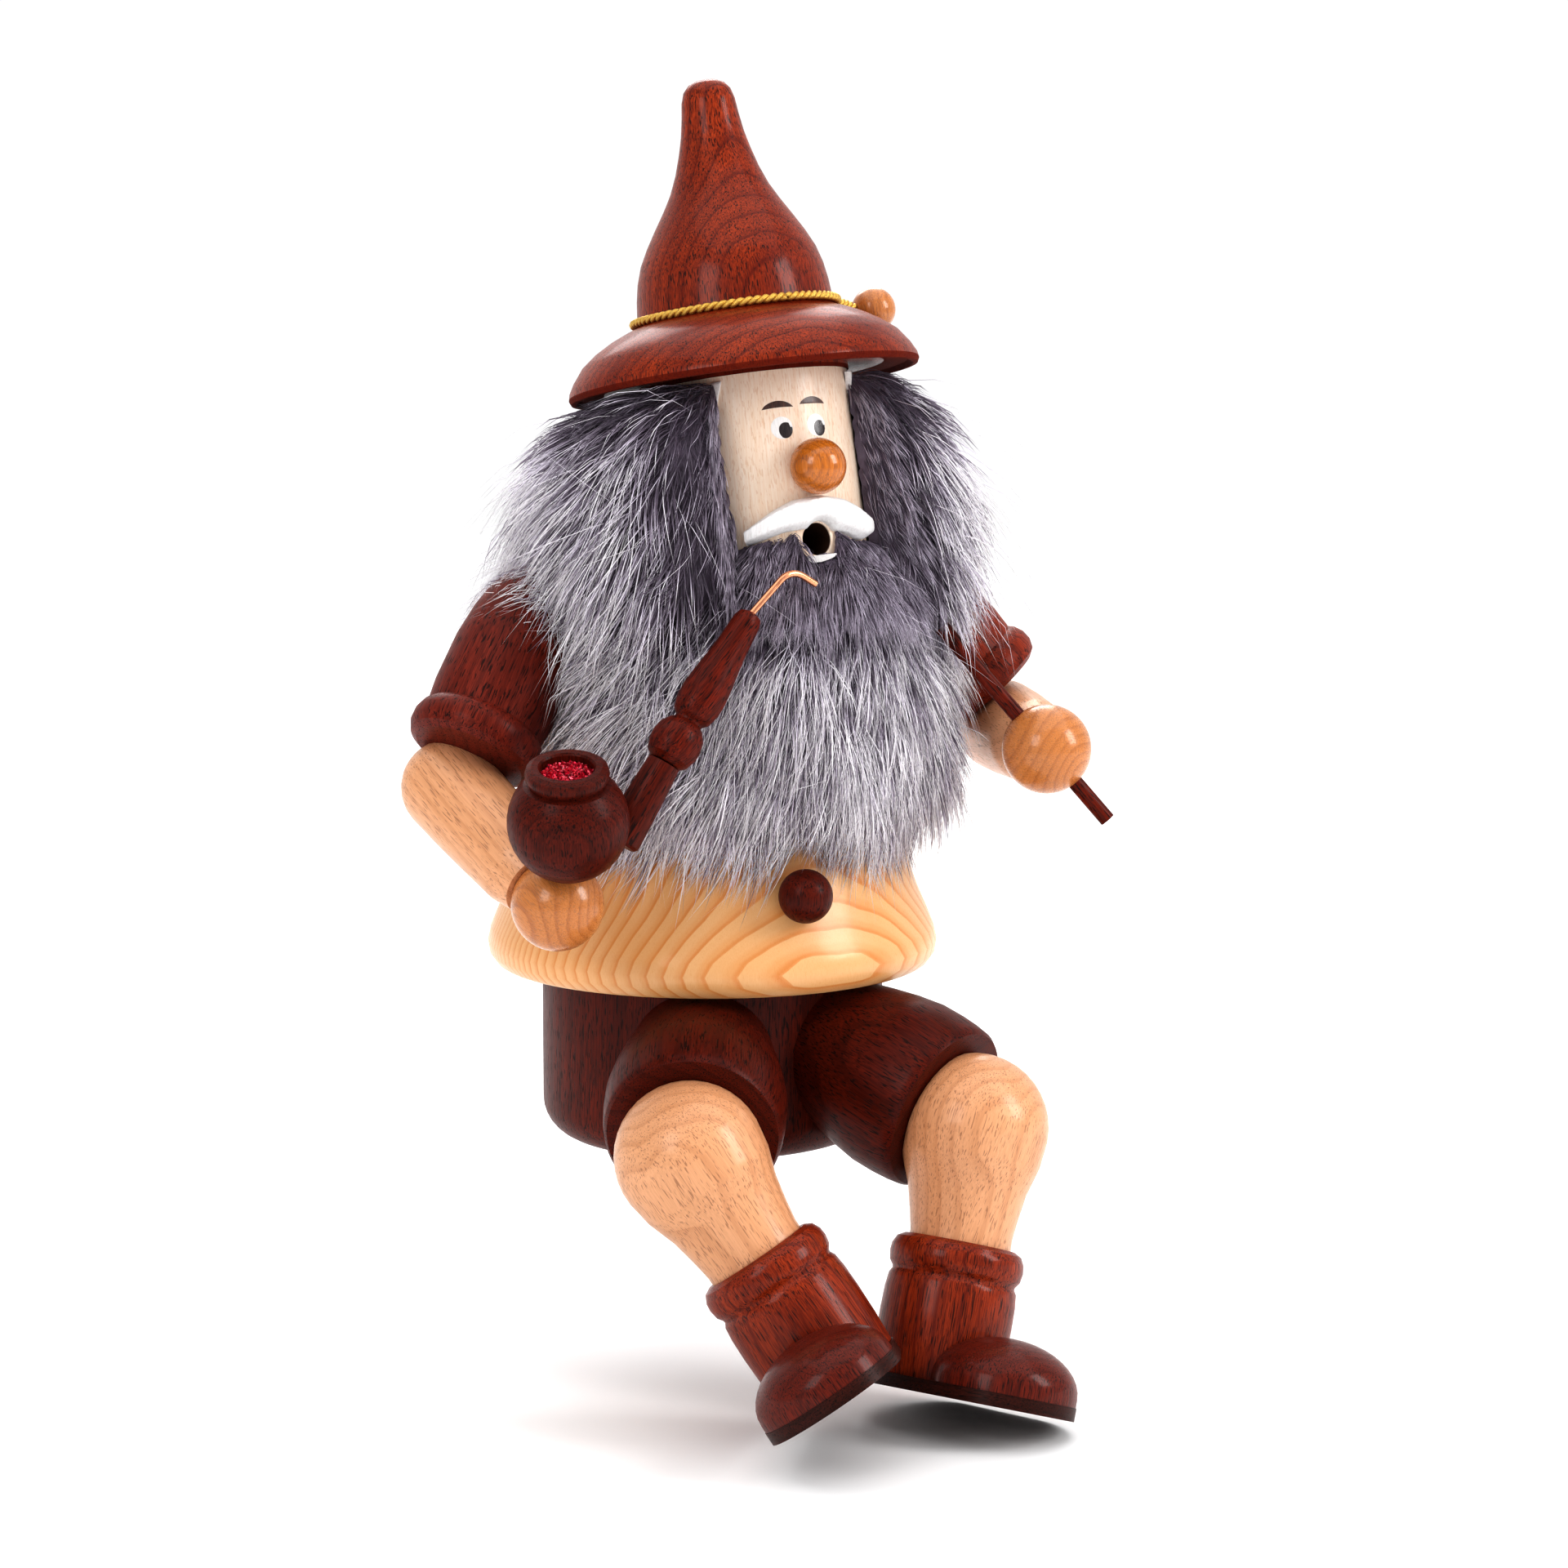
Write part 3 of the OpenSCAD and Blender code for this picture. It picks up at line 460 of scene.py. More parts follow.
def copper():
    s = Shader("copper", Metallic=1.0, Roughness=0.22)
    grain = s.local(SHANK[2], along(WIRE_BEND - SHANK[2]))
    scratch = s.noise(grain, (6, 6, 0.4), 3, 0.6)
    s.feed("Base Color", s.mix(scratch, (0.72, 0.26, 0.11), (0.95, 0.52, 0.34)))
    s.feed("Roughness", s.ramp(scratch, [(0.3, 0.14), (0.7, 0.34)]))
    s.bump(scratch, 0.01 * MM)
    return s.material


def tin():
    s = Shader("tin", Metallic=1.0)
    grain = s.local((0, 0, 0))
    dark_patch = s.noise(grain, (0.4, 0.4, 0.4), 4, 0.6)
    s.feed("Base Color", s.mix(dark_patch, (0.25, 0.22, 0.2), (0.62, 0.61, 0.58)))
    s.feed("Roughness", s.ramp(dark_patch, [(0.3, 0.55), (0.7, 0.3)]))
    s.bump(dark_patch, 0.03 * MM)
    return s.material


dress("pipe_wire", copper(), 60.0)
dress("incense_tray", tin())


# ---------- painted face ----------

def paint(name, colour, other, rough=0.3):
    """Thin paint with brush marks and a little grain showing through."""
    s = Shader(name, Roughness=rough, Coat_Weight=0.25, Coat_Roughness=0.2)
    grain = s.local(HEAD_AT, HEAD_ROT)
    brush = s.noise(grain, (2.5, 2.5, 0.35), 3, 0.6)
    s.feed("Base Color", s.mix(s.ramp(brush, [(0.4, 0.0), (0.7, 1.0)]), colour, other))
    s.bump(brush, 0.03 * MM)
    return s.material


def patch(name, outline, lift, material):
    """A thin piece of paint on the face: outline is angle and height in degrees and mm."""
    outline = np.asarray(outline, float)
    middle = outline.mean(0)
    steps = 5
    rings = [middle + (outline - middle) * k / steps for k in range(1, steps + 1)]
    flat = np.concatenate([[middle], *rings])
    n = len(outline)
    rise = np.concatenate([[1.0], *[np.full(n, 1.0 - (k / steps) ** 4) for k in range(1, steps + 1)]])
    verts = head_points(flat[:, 0], flat[:, 1], HEAD_R / MM + lift * (0.35 + 0.65 * rise))
    j = np.arange(n)
    k = (j + 1) % n
    fan = np.stack([np.zeros(n, int), 1 + j, 1 + k], -1)
    quads = np.concatenate([np.stack([1 + i * n + j, 1 + (i + 1) * n + j, 1 + (i + 1) * n + k,
                                      1 + i * n + k], -1) for i in range(steps - 1)])
    return new_mesh(name, verts, [quads, fan], material)


def oval(phi, z, half_phi, half_z, notch=None):
    """Outline of an eye or pupil; notch is a round bite: its angle, height and radius."""
    a = np.linspace(0, 2 * math.pi, 40, endpoint=False)
    pts = np.stack([phi + half_phi * np.cos(a), z + half_z * np.sin(a)], -1)
    if notch is not None:
        at, size = np.array(notch[:2]), notch[2]
        scale = np.array([HEAD_R / MM * math.pi / 180, 1.0])
        gap = (pts - at) * scale
        far = np.linalg.norm(gap, axis=1, keepdims=True)
        pts = np.where(far < size, at + gap / np.maximum(far, 1e-6) * size / scale, pts)
    return pts


def brow(left, right, top, low):
    """Lens shape with a high top edge and a nearly straight lower edge."""
    t = np.linspace(0, 1, 14)
    upper = np.stack([left[0] + (right[0] - left[0]) * t,
                      left[1] + (right[1] - left[1]) * t + top * (4 * t * (1 - t)) ** 0.75], -1)
    lower = np.stack([left[0] + (right[0] - left[0]) * t,
                      left[1] + (right[1] - left[1]) * t + low * 4 * t * (1 - t)], -1)
    return np.concatenate([upper, lower[-2:0:-1]])


white_paint = paint("eye_white", (0.90, 0.89, 0.88), (0.80, 0.79, 0.78))
black_paint = paint("pupil_paint", (0.022, 0.014, 0.016), (0.05, 0.035, 0.036), 0.25)
brow_paint = paint("brow_paint", (0.045, 0.020, 0.016), (0.14, 0.055, 0.035), 0.35)
patch("eye_right", oval(-12.5, -15.0, 6.3, 2.85), 0.07, white_paint)
patch("eye_left", oval(9.2, -15.0, 6.3, 2.85), 0.07, white_paint)
patch("pupil_right", oval(-10.7, -15.6, 4.2, 2.15, notch=(-7.3, -14.3, 0.75)), 0.12, black_paint)
patch("pupil_left", oval(10.9, -15.7, 4.2, 2.15, notch=(14.3, -14.4, 0.75)), 0.12, black_paint)
patch("brow_right", brow((-22.7, -10.0), (-4.4, -9.9), 1.9, 0.2), 0.07, brow_paint)
patch("brow_left", brow((-0.3, -9.4), (16.9, -9.6), 1.9, 0.1), 0.07, brow_paint)


# ---------- moustache ----------

def moustache():
    """A carved crescent: round upper edge, bevelled underside, notched over the mouth."""
    phi = np.concatenate([np.linspace(-39.5, 37, 90), np.linspace(37.6, 41.5, 12)])
    key = [-39.5, -36.7, -24.2, -12.6, 3.0, 15.6, 28.3, 37, 40.4, 41.5]
    top = np.interp(phi, key, [-40.2, -39.3, -35.9, -33.7, -33.1, -34.2, -36.9, -39.4, -41.0, -42.2])
    key = [-39.5, -31.8, -19, -6.8, 2.9, 7.5, 17.2, 25, 30.8, 37, 40.4, 41.5]
    low = np.interp(phi, key, [-44.0, -43.2, -41.7, -41.4, -41.6, -42.1, -43.2, -44.5, -45.4, -44.9,
                               -43.7, -42.8])
    kernel = np.hanning(9) / np.hanning(9).sum()
    top = np.convolve(np.pad(top, 4, "edge"), kernel, "valid")
    low = np.convolve(np.pad(low, 4, "edge"), kernel, "valid")
    # The mouth's edge lifts the lower side into a small round notch.
    near = 1 - ((phi - 0.9) * HEAD_R / MM * math.pi / 180 / 4.5) ** 2
    low = np.where(near > 0, np.maximum(low, -44.2 + 4.5 * np.sqrt(np.maximum(near, 0))), low)
    end = np.clip((41.5 - phi) / 3.5, 0, 1) ** 0.5
    depth = 4.1 * (0.25 + 0.75 * end)
    base = HEAD_R / MM - 0.3
    # Section from the upper root over the front to the lower root: share of height, share of depth.
    section = np.array([(0, 0), (0.01, 0.45), (0.06, 0.8), (0.14, 0.96), (0.26, 1.0), (0.42, 1.0),
                        (0.58, 0.985), (0.70, 0.95), (0.78, 0.88), (0.86, 0.70), (0.94, 0.52),
                        (0.99, 0.40), (1.0, 0)])
    h, d = section[:, 0][None], section[:, 1][None]
    z = top[:, None] - (top - low)[:, None] * h
    r = base + (depth[:, None] + 0.3) * d
    chip = 0.10 * np.sin(phi * 3.1)[:, None] * np.sin(phi * 0.83 + 1)[:, None] * d * (h < 0.8)
    verts = head_points(phi[:, None], z, r + chip).reshape(-1, 3)
    rows, cols = z.shape
    faces = [grid_faces(rows, cols)]
    back = np.arange(rows - 1)
    faces.append(np.stack([back * cols + cols - 1, back * cols, (back + 1) * cols,
                           (back + 1) * cols + cols - 1], -1))
    caps = [np.arange(cols)[None], np.arange(cols)[None, ::-1] + (rows - 1) * cols]
    s = Shader("white_moustache", Roughness=0.42, Coat_Weight=0.15, Coat_Roughness=0.3)
    grain = s.local(HEAD_AT, HEAD_ROT @ turn(y=14))
    strokes = s.noise(grain, (1.6, 1.6, 0.16), 3, 0.65)
    fine = s.noise(grain, (0.5, 0.5, 5.0), 2, 0.5)
    s.feed("Base Color", s.mix(s.ramp(strokes, [(0.33, 1.0), (0.52, 0.0)]), (0.90, 0.89, 0.885),
                               (0.80, 0.77, 0.76)))
    s.feed("Roughness", s.ramp(fine, [(0.3, 0.36), (0.7, 0.5)]))
    s.bump(s.math("ADD", strokes, s.math("MULTIPLY", fine, 0.3)), 0.16 * MM)
    obj = new_mesh("moustache_carved", verts, faces + caps, s.material)
    split = obj.modifiers.new("split", "EDGE_SPLIT")
    split.split_angle = math.radians(38)
    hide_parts("moustache")
    return obj


moustache()


# ---------- hat cord ----------

def lurex():
    s = Shader("gold_lurex", Metallic=0.85, Specular_IOR_Level=0.6)
    grain = s.local(HEAD_AT, HEAD_ROT)
    thread = s.noise(grain, (7, 7, 9), 2, 0.6)
    dust = s.noise(grain, (1.1, 1.1, 1.1), 2, 0.5)
    colour = s.mix(s.ramp(thread, [(0.35, 0.0), (0.65, 1.0)]), (0.50, 0.27, 0.035), (0.95, 0.68, 0.20))
    s.feed("Base Color", s.mix(s.ramp(dust, [(0.4, 0.0), (0.8, 0.5)]), colour, (0.62, 0.40, 0.07)))
    s.feed("Roughness", s.ramp(thread, [(0.3, 0.28), (0.7, 0.5)]))
    s.bump(thread, 0.08 * MM)
    return s.material


def twisted(name, path, radius, pitch, plies, closed, material):
    """Plies laid round a path: each ply is its own tube, so the lay shows."""
    path = np.asarray(path, float)
    step = np.linalg.norm(np.diff(path, axis=0), axis=1)
    run = np.concatenate([[0], np.cumsum(step)])
    total = run[-1] + (np.linalg.norm(path[0] - path[-1]) if closed else 0)
    turns = round(total / pitch)
    tangent = np.gradient(path, axis=0)
    if closed:
        tangent = np.roll(path, -1, 0) - np.roll(path, 1, 0)
    tangent /= np.linalg.norm(tangent, axis=1, keepdims=True)
    up = HEAD_M[:, 2]
    side = np.cross(tangent, up)
    side /= np.linalg.norm(side, axis=1, keepdims=True)
    top = np.cross(side, tangent)
    ply = radius * 0.60
    verts, faces, count = [], [], 0
    for k in range(plies):
        a = 2 * math.pi * (turns * run / total + k / plies)
        line = path + (radius - ply) * 1.1 * (np.cos(a)[:, None] * side + np.sin(a)[:, None] * top)
        v, f = tube(line, ply, 8, closed)
        verts.append(v)
        faces.append(f + count)
        count += len(v)
    return new_mesh(name, np.concatenate(verts), faces, material)


gold = lurex()
CORD_UP, CORD_R = 18.2, 26.7
phi = np.linspace(0, 360, 560, endpoint=False)
lean = 0.35 * np.sin(np.radians(phi * 2 + 40))
ring = twisted("hat_cord_ring", head_points(phi, CORD_UP + lean, CORD_R), 1.15 * MM, 4.4 * MM, 2, True,
               gold)
bead = np.array(centre("hat_bead"))
start = head_points(78.0, CORD_UP + 0.6, CORD_R + 0.5)
t = np.linspace(0, 1, 70)[:, None]
bead_in = bead + (head_points(90.0, CORD_UP, CORD_R) - bead) * 0.34
arch = np.array(HEAD_M[:, 2]) * 0.0008
tail_path = (1 - t) ** 2 * start + 2 * t * (1 - t) * ((start + bead_in) / 2 + arch) + t ** 2 * bead_in
tail = twisted("hat_cord_tail", tail_path, 1.1 * MM, 4.4 * MM, 2, False, gold)
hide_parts("hat_cord")


# ---------- glitter in the bowl ----------

def ember():
    """Loose red flakes heaped on a rough bed."""
    rng = np.random.default_rng(5)
    rim, bed_top, flake_top = 6.7, 13.5, 13.65
    rings, sides = 12, 40
    r = np.linspace(0.02, 1, rings)[:, None] * rim
    a = np.linspace(0, 2 * math.pi, sides, endpoint=False)[None]
    z = bed_top - 0.7 * (r / rim) ** 2 + 0.35 * rng.standard_normal((rings, sides)) * (r < rim * 0.95)
    local = np.stack([r * np.cos(a), r * np.sin(a), z], -1).reshape(-1, 3)
    m = np.array(BOWL_ROT)
    bed = local * MM @ m.T + np.array(BOWL_AT)
    faces = [grid_faces(rings, sides, wrap=True), np.arange(sides)[None]]
    count = len(bed)
    n = 900
    rr, aa = rim * 0.97 * np.sqrt(rng.random(n)), rng.random(n) * 2 * math.pi
    mid = np.stack([rr * np.cos(aa), rr * np.sin(aa), flake_top - 0.6 * (rr / rim) ** 2
                    + 0.45 * rng.random(n)], -1)
    size = 0.22 + 0.28 * rng.random(n)
    u = rng.standard_normal((n, 3))
    u /= np.linalg.norm(u, axis=1, keepdims=True)
    w = np.cross(u, rng.standard_normal((n, 3)))
    w /= np.linalg.norm(w, axis=1, keepdims=True)
    shape = ((-1, -0.8), (1, -0.5), (0.8, 0.9), (-0.6, 0.8))
    corners = [mid + size[:, None] * (u * p + w * q) for p, q in shape]
    flakes = np.stack(corners, 1).reshape(-1, 3) * MM @ m.T + np.array(BOWL_AT)
    quads = np.arange(n * 4).reshape(-1, 4) + count
    shade = np.concatenate([np.full(count, 0.2), np.repeat(rng.random(n), 4)])
    s = Shader("red_glitter", Roughness=0.3, Coat_Weight=0.2, Coat_Roughness=0.1)
    value = s.add("Attribute", attribute_name="shade").outputs["Fac"]
    s.feed("Base Color", s.ramp(value, [(0.0, (0.10, 0.001, 0.008)), (0.35, (0.60, 0.004, 0.035)),
                                        (0.7, (0.90, 0.012, 0.075)), (0.97, (0.98, 0.16, 0.22))]))
    s.feed("Metallic", s.ramp(value, [(0.3, 0.1), (0.8, 0.5)]))
    obj = new_mesh("ember_glitter", np.concatenate([bed, flakes]), [*faces, quads], s.material, smooth=False)
    attribute(obj, "shade", shade)
    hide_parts("pipe_ember")
    return obj


ember()


# ---------- fur ----------

DOWN = np.array([0, 0, -1.0])


def unit(v):
    return v / np.maximum(np.linalg.norm(v, axis=-1, keepdims=True), 1e-9)


def ease(t):
    t = np.clip(t, 0, 1)
    return t * t * (3 - 2 * t)


def outline_of(node, at, rot):
    """Outer radius of a turned piece along its own axis, with the axis's start and turn."""
    data = NODES[node].data
    co = np.empty(len(data.vertices) * 3, np.float32)
    data.vertices.foreach_get("co", co)
    at, rot = np.array(at), np.array(rot)
    local = (co.reshape(-1, 3) - at) @ rot
    level = np.round(local[:, 2] / MM).astype(int)
    reach = np.hypot(local[:, 0], local[:, 1])
    rows = np.unique(level)
    outer = np.array([reach[level == k].max() for k in rows])
    near = np.array([outer[np.abs(rows - k) <= 7].max() for k in rows])
    keep = outer > 0.85 * near
    keep[0] = keep[-1] = True
    return at, rot, rows[keep] * MM, outer[keep]


OBSTACLES = [
    outline_of("torso", (0, 0, TRUNK_Z), UP),
    (HEAD_O, HEAD_M, np.array([-HEAD_H, 0.0]), np.array([HEAD_R, HEAD_R])),
    *(outline_of("sleeve_" + side, ARM[side][0], along(ARM[side][1] - ARM[side][0]))
      for side in ("right", "left")),
]
STAFF_MID = centre("staff")
PAST_BOX = 0.011  # how far hair may reach past the CAD box
OBSTACLES.append((np.array(STAFF_MID), np.array(along(STAFF_DIR)), np.array([-0.046, 0.036]),
                  np.array([0.0022, 0.0022])))
RODS = [(SHANK[0], SHANK[1], 7.0), (SHANK[1], SHANK[2], 8.0), (SHANK[2], WIRE_BEND, 1.7),
        (WIRE_BEND, WIRE_END, 1.7), (STAFF_MID - STAFF_DIR * 0.048, STAFF_MID + STAFF_DIR * 0.036, 2.1),
        (centre("button"), centre("button") + Vector((0, 0, 0.0001)), 7.3)]


def pushed(points, gap):
    """Points moved out of the trunk, the head, the sleeves and the staff."""
    for at, rot, height, reach in OBSTACLES:
        local = (points - at) @ rot
        flat = np.hypot(local[..., 0], local[..., 1])
        limit = np.interp(local[..., 2], height, reach, left=0, right=0)
        limit = np.where(limit > 0, limit + gap, 0)
        scale = np.where(flat < limit, limit / np.maximum(flat, 1e-6), 1.0)
        points = (local * np.stack([scale, scale, np.ones_like(scale)], -1)) @ rot.T + at
    # Hair that would rise through the hat's brim lies along its underside.
    local = (points - HEAD_O) @ HEAD_M
    under = (np.hypot(local[..., 0], local[..., 1]) < 0.048) & (local[..., 2] > -1.2 * MM)
    local[..., 2] = np.where(under, -1.2 * MM, local[..., 2])
    return local @ HEAD_M.T + HEAD_O


def blocked(path, rng):
    """Strands that leave the box or cross the pipe, staff, button, moustache, face, mouth or brim."""
    points = np.concatenate([path, (path[:, 1:] + path[:, :-1]) / 2], 1)
    low, high = np.array(cad_lo) - PAST_BOX, np.array(cad_hi) + PAST_BOX
    out = ((points < low) | (points > high)).any((1, 2))
    for a, b, radius in RODS:
        a, b = np.array(a), np.array(b)
        t = np.clip(((points - a) @ (b - a)) / ((b - a) @ (b - a)), 0, 1)
        far = np.linalg.norm(points - a - t[..., None] * (b - a), axis=-1)
        out |= (far < radius * MM).any(1)
    local = (points - HEAD_O) @ HEAD_M / MM
    phi = np.degrees(np.arctan2(local[..., 0], -local[..., 1]))
    z = local[..., 2]
    front = (local[..., 1] < 0) & (np.hypot(local[..., 0], local[..., 1]) < 46)
    lower = np.interp(phi, [-42, -32, -19, -7, 3, 8, 17, 25, 31, 42],
                      [-44.2, -43.4, -41.9, -41.6, -41.8, -42.3, -43.4, -44.7, -45.6, -44.6])
    lip = front & (np.abs(phi) < 42) & (z > lower) & (z < -31)
    face = front & (np.abs(phi) < 40) & (z > -31.1)
    edge = front & (np.abs(phi) < 45) & (z > -32)
    out |= lip.any(1) | face.any(1) | (edge.any(1) & (rng.random(len(path)) < 0.75))
    mouth = np.hypot(local[..., 0], z + 44.2) < 4.6
    over = (np.hypot(local[..., 0], local[..., 1]) > 46) & (z > -2.5)
    return out | (mouth & (local[..., 1] < -20)).any(1) | over.any(1)


def turned_in(outer, inner):
    """A grid with one more row of points round it, which lie on the inner grid's edge."""
    around = ((1, 1), (1, 1), (0, 0))
    outer, inner = np.pad(outer, around, "edge"), np.pad(inner, around, "edge")
    for edge in (np.s_[0], np.s_[-1], np.s_[:, 0], np.s_[:, -1]):
        outer[edge] = inner[edge]
    return outer


class Hide:
    """A band of hide round an axis: angles run round it, the profile runs from the top down.

    swell scales the radius, tilt turns the hair's lie and dip moves the top edge, each by angle.
    """

    def __init__(self, place, span, profile, swell, tilt, inner=0.0, dip=((0, 0),)):
        self.place, self.span, self.inner = place, span, inner
        self.dip = np.array(dip, float)
        self.profile = np.array(profile, float)
        self.swell, self.tilt = np.array(swell, float), np.array(tilt, float)
        step = np.linalg.norm(np.diff(self.profile, axis=0), axis=1)
        self.run = np.concatenate([[0], np.cumsum(step)]) / step.sum()

    def level(self, phi, v):
        z = np.interp(v, self.run, self.profile[:, 1])
        return z + np.interp(phi, self.dip[:, 0], self.dip[:, 1]) * (1 - v)

    def at(self, phi, v, rise=0.0):
        r = np.interp(v, self.run, self.profile[:, 0])
        z = self.level(phi, v)
        r = self.inner + (r - self.inner) * np.interp(phi, self.swell[:, 0], self.swell[:, 1])
        r = r + 0.9 * np.sin(phi * 0.16 + z * 0.11) + 0.7 * np.sin(phi * 0.29 - z * 0.21 + 1.7)
        return self.place(phi, z, r + rise)

    def sample(self, rng, count):
        grid = np.linspace(0, 1, 60)
        weight = np.cumsum(np.interp(grid, self.run, self.profile[:, 0]))
        weight = (weight - weight[0]) / (weight[-1] - weight[0])
        v = np.interp(rng.random(count), weight, grid)
        phi = rng.uniform(*self.span, count)
        p = self.at(phi, v)
        across = unit(self.at(phi + 0.4, v) - self.at(phi - 0.4, v))
        below = unit(self.at(phi, np.minimum(v + 0.03, 1)) - self.at(phi, np.maximum(v - 0.03, 0)))
        normal = unit(np.cross(below, across))
        outward = self.at(phi, v, 1.0) - p
        normal *= np.sign((normal * outward).sum(-1, keepdims=True))
        down = DOWN - normal * (normal @ DOWN)[:, None]
        down = unit(down + 0.25 * below)
        side = np.cross(down, normal)
        side *= np.sign((side * across).sum(-1, keepdims=True))
        angle = np.radians(np.interp(phi, self.tilt[:, 0], self.tilt[:, 1]))[:, None]
        flow = np.cos(angle) * down + np.sin(angle) * side
        return dict(phi=phi, v=v, p=p, normal=normal, flow=flow)

    def core(self, name, material, depth):
        """The undercoat: a lumpy surface closed down to the inside at its edges."""
        rows, cols = 46, 150
        v = np.linspace(0, 1, rows)[:, None]
        phi = np.linspace(*self.span, cols)[None]
        verts = self.at(phi, v, -depth)
        inner = self.place(phi, self.level(phi, v), self.inner)
        verts = turned_in(verts, inner)
        rng = np.random.default_rng(len(name))
        verts = verts + rng.normal(0, 0.25 * MM, verts.shape)
        obj = new_mesh(name, verts.reshape(-1, 3), [grid_faces(rows + 2, cols + 2)], material)
        attribute(obj, "tone", np.full(verts.shape[0] * verts.shape[1], 0.15))
        return obj


def pick(roots, keep):
    return {key: value[keep] for key, value in roots.items()}


def strands(name, roots, length, lift, radius, tone, seed, per=9, clump=0.6, spread=9.0, droop=0.4,
            jitter=7.0):
    """Tapered hairs. Lengths and radii in mm, lift from the hide in degrees, tone 0 dark to 1 white."""
    rng = np.random.default_rng(seed)
    p, normal, flow = roots["p"], roots["normal"], roots["flow"]
    count = len(p)
    guides = rng.choice(count, max(2, count // per), replace=False)
    nearest = np.empty(count, int)
    for i in range(0, count, 2000):
        gap = p[i:i + 2000, None] - p[guides][None]
        nearest[i:i + 2000] = (gap ** 2).sum(-1).argmin(1)
    own = rng.standard_normal((count, 4))
    shared = rng.standard_normal((len(guides), 4))[nearest]
    side = np.cross(flow, normal)
    swing = np.radians(jitter * own[:, :1] + spread * shared[:, :1])
    flow = np.cos(swing) * flow + np.sin(swing) * side
    rise = np.radians(np.clip(lift + 5 * own[:, 1] + 8 * shared[:, 1], 4, 80))[:, None]
    reach = (length * np.clip(1 + 0.13 * own[:, 2] + 0.12 * shared[:, 2], 0.4, 1.6) * MM)[:, None, None]
    start = (np.cos(rise) * flow + np.sin(rise) * normal)[:, None]
    end = unit(flow + droop * DOWN + 0.10 * normal)[:, None]
    t = np.array([0.0, 0.36, 0.70, 1.0])[None, :, None]
    path = p[:, None] + reach * (t * start + t ** 2 / 2 * (end - start))
    path = path + reach * t ** 2 * 0.05 * rng.standard_normal((count, 1, 3))
    path = path + (path[guides[nearest]] - path) * clump * t ** 1.4
    path[:, 1:] = pushed(path[:, 1:], (0.35 + 0.9 * rng.random((count, 1))) * MM)
    keep = ~blocked(path, rng)
    path, own = path[keep], own[keep]
    shade = tone(t[0, :, 0][None], pick(roots, keep), rng)
    count = len(path)
    thick = (np.broadcast_to(radius, keep.shape)[keep] * np.clip(1 + 0.2 * own[:, 3], 0.5, 1.6) * MM)
    heading = unit(path[:, 2] - path[:, 0])
    u = unit(np.cross(heading, np.where(np.abs(heading[:, 2:]) > 0.9, [[1.0, 0, 0]], [[0, 0, 1.0]])))
    w = np.cross(heading, u)
    a = 2 * math.pi * (np.arange(3) / 3)[None] + rng.random((count, 1)) * 6.28
    ring = (np.cos(a)[..., None] * u[:, None] + np.sin(a)[..., None] * w[:, None]) * thick[:, None, None]
    verts = np.empty((count, 10, 3))
    for k, taper in enumerate((0.75, 1.0, 0.66)):
        verts[:, 3 * k:3 * k + 3] = path[:, k, None] + ring * taper
    verts[:, 9] = path[:, 3]
    base = (np.arange(count) * 10)[:, None, None]
    j, k = np.arange(3), (np.arange(3) + 1) % 3
    quads = np.concatenate([np.stack([3 * r + j, 3 * r + k, 3 * r + 3 + k, 3 * r + 3 + j], -1)
                            for r in (0, 1)])
    tips = np.stack([6 + j, 6 + k, np.full(3, 9)], -1)
    obj = new_mesh(name, verts.reshape(-1, 3), [(base + quads[None]).reshape(-1, 4),
                                                (base + tips[None]).reshape(-1, 3)], FUR)
    attribute(obj, "tone", np.repeat(shade, [3, 3, 3, 1], axis=1).ravel())
    return obj


def banded(start, pale=0.85, base=0.14, black=0.05, dim=0.0):
    """Dark root, pale outer part from a share of the length on, a few black tips and a share of dim hairs."""
    def tone(t, roots, rng):
        count = len(roots["p"])
        begin = start(roots) if callable(start) else np.full(count, start)
        top = pale * (0.78 + 0.30 * rng.random(count)) * np.where(rng.random(count) < dim, 0.36, 1)
        value = base + (top - base)[:, None] * ease((t - begin[:, None]) / 0.36 + 0.35)
        value[:, 3] = np.where(rng.random(count) < black, 0.02, value[:, 3])
        return np.clip(value * (0.9 + 0.2 * rng.random((count, 1))), 0, 1)
    return tone


def fur_coat():
    s = Shader("rabbit_fur", Roughness=0.42, Specular_IOR_Level=0.45, Sheen_Weight=0.15,
               Sheen_Roughness=0.4)
    tone = s.add("Attribute", attribute_name="tone").outputs["Fac"]
    mottle = s.noise(s.local(), (0.5, 0.5, 0.5), 3, 0.6)
    value = s.math("ADD", tone, s.math("MULTIPLY", s.math("SUBTRACT", mottle, 0.5), 0.12))
    s.feed("Base Color", s.ramp(value, [
        (0.0, (0.016, 0.011, 0.017)), (0.15, (0.130, 0.098, 0.142)), (0.40, (0.40, 0.345, 0.43)),
        (0.70, (0.86, 0.80, 0.91)), (1.0, (1.0, 0.975, 1.0))]))
    s.feed("Roughness", s.ramp(mottle, [(0.3, 0.36), (0.7, 0.5)]))
    return s.material


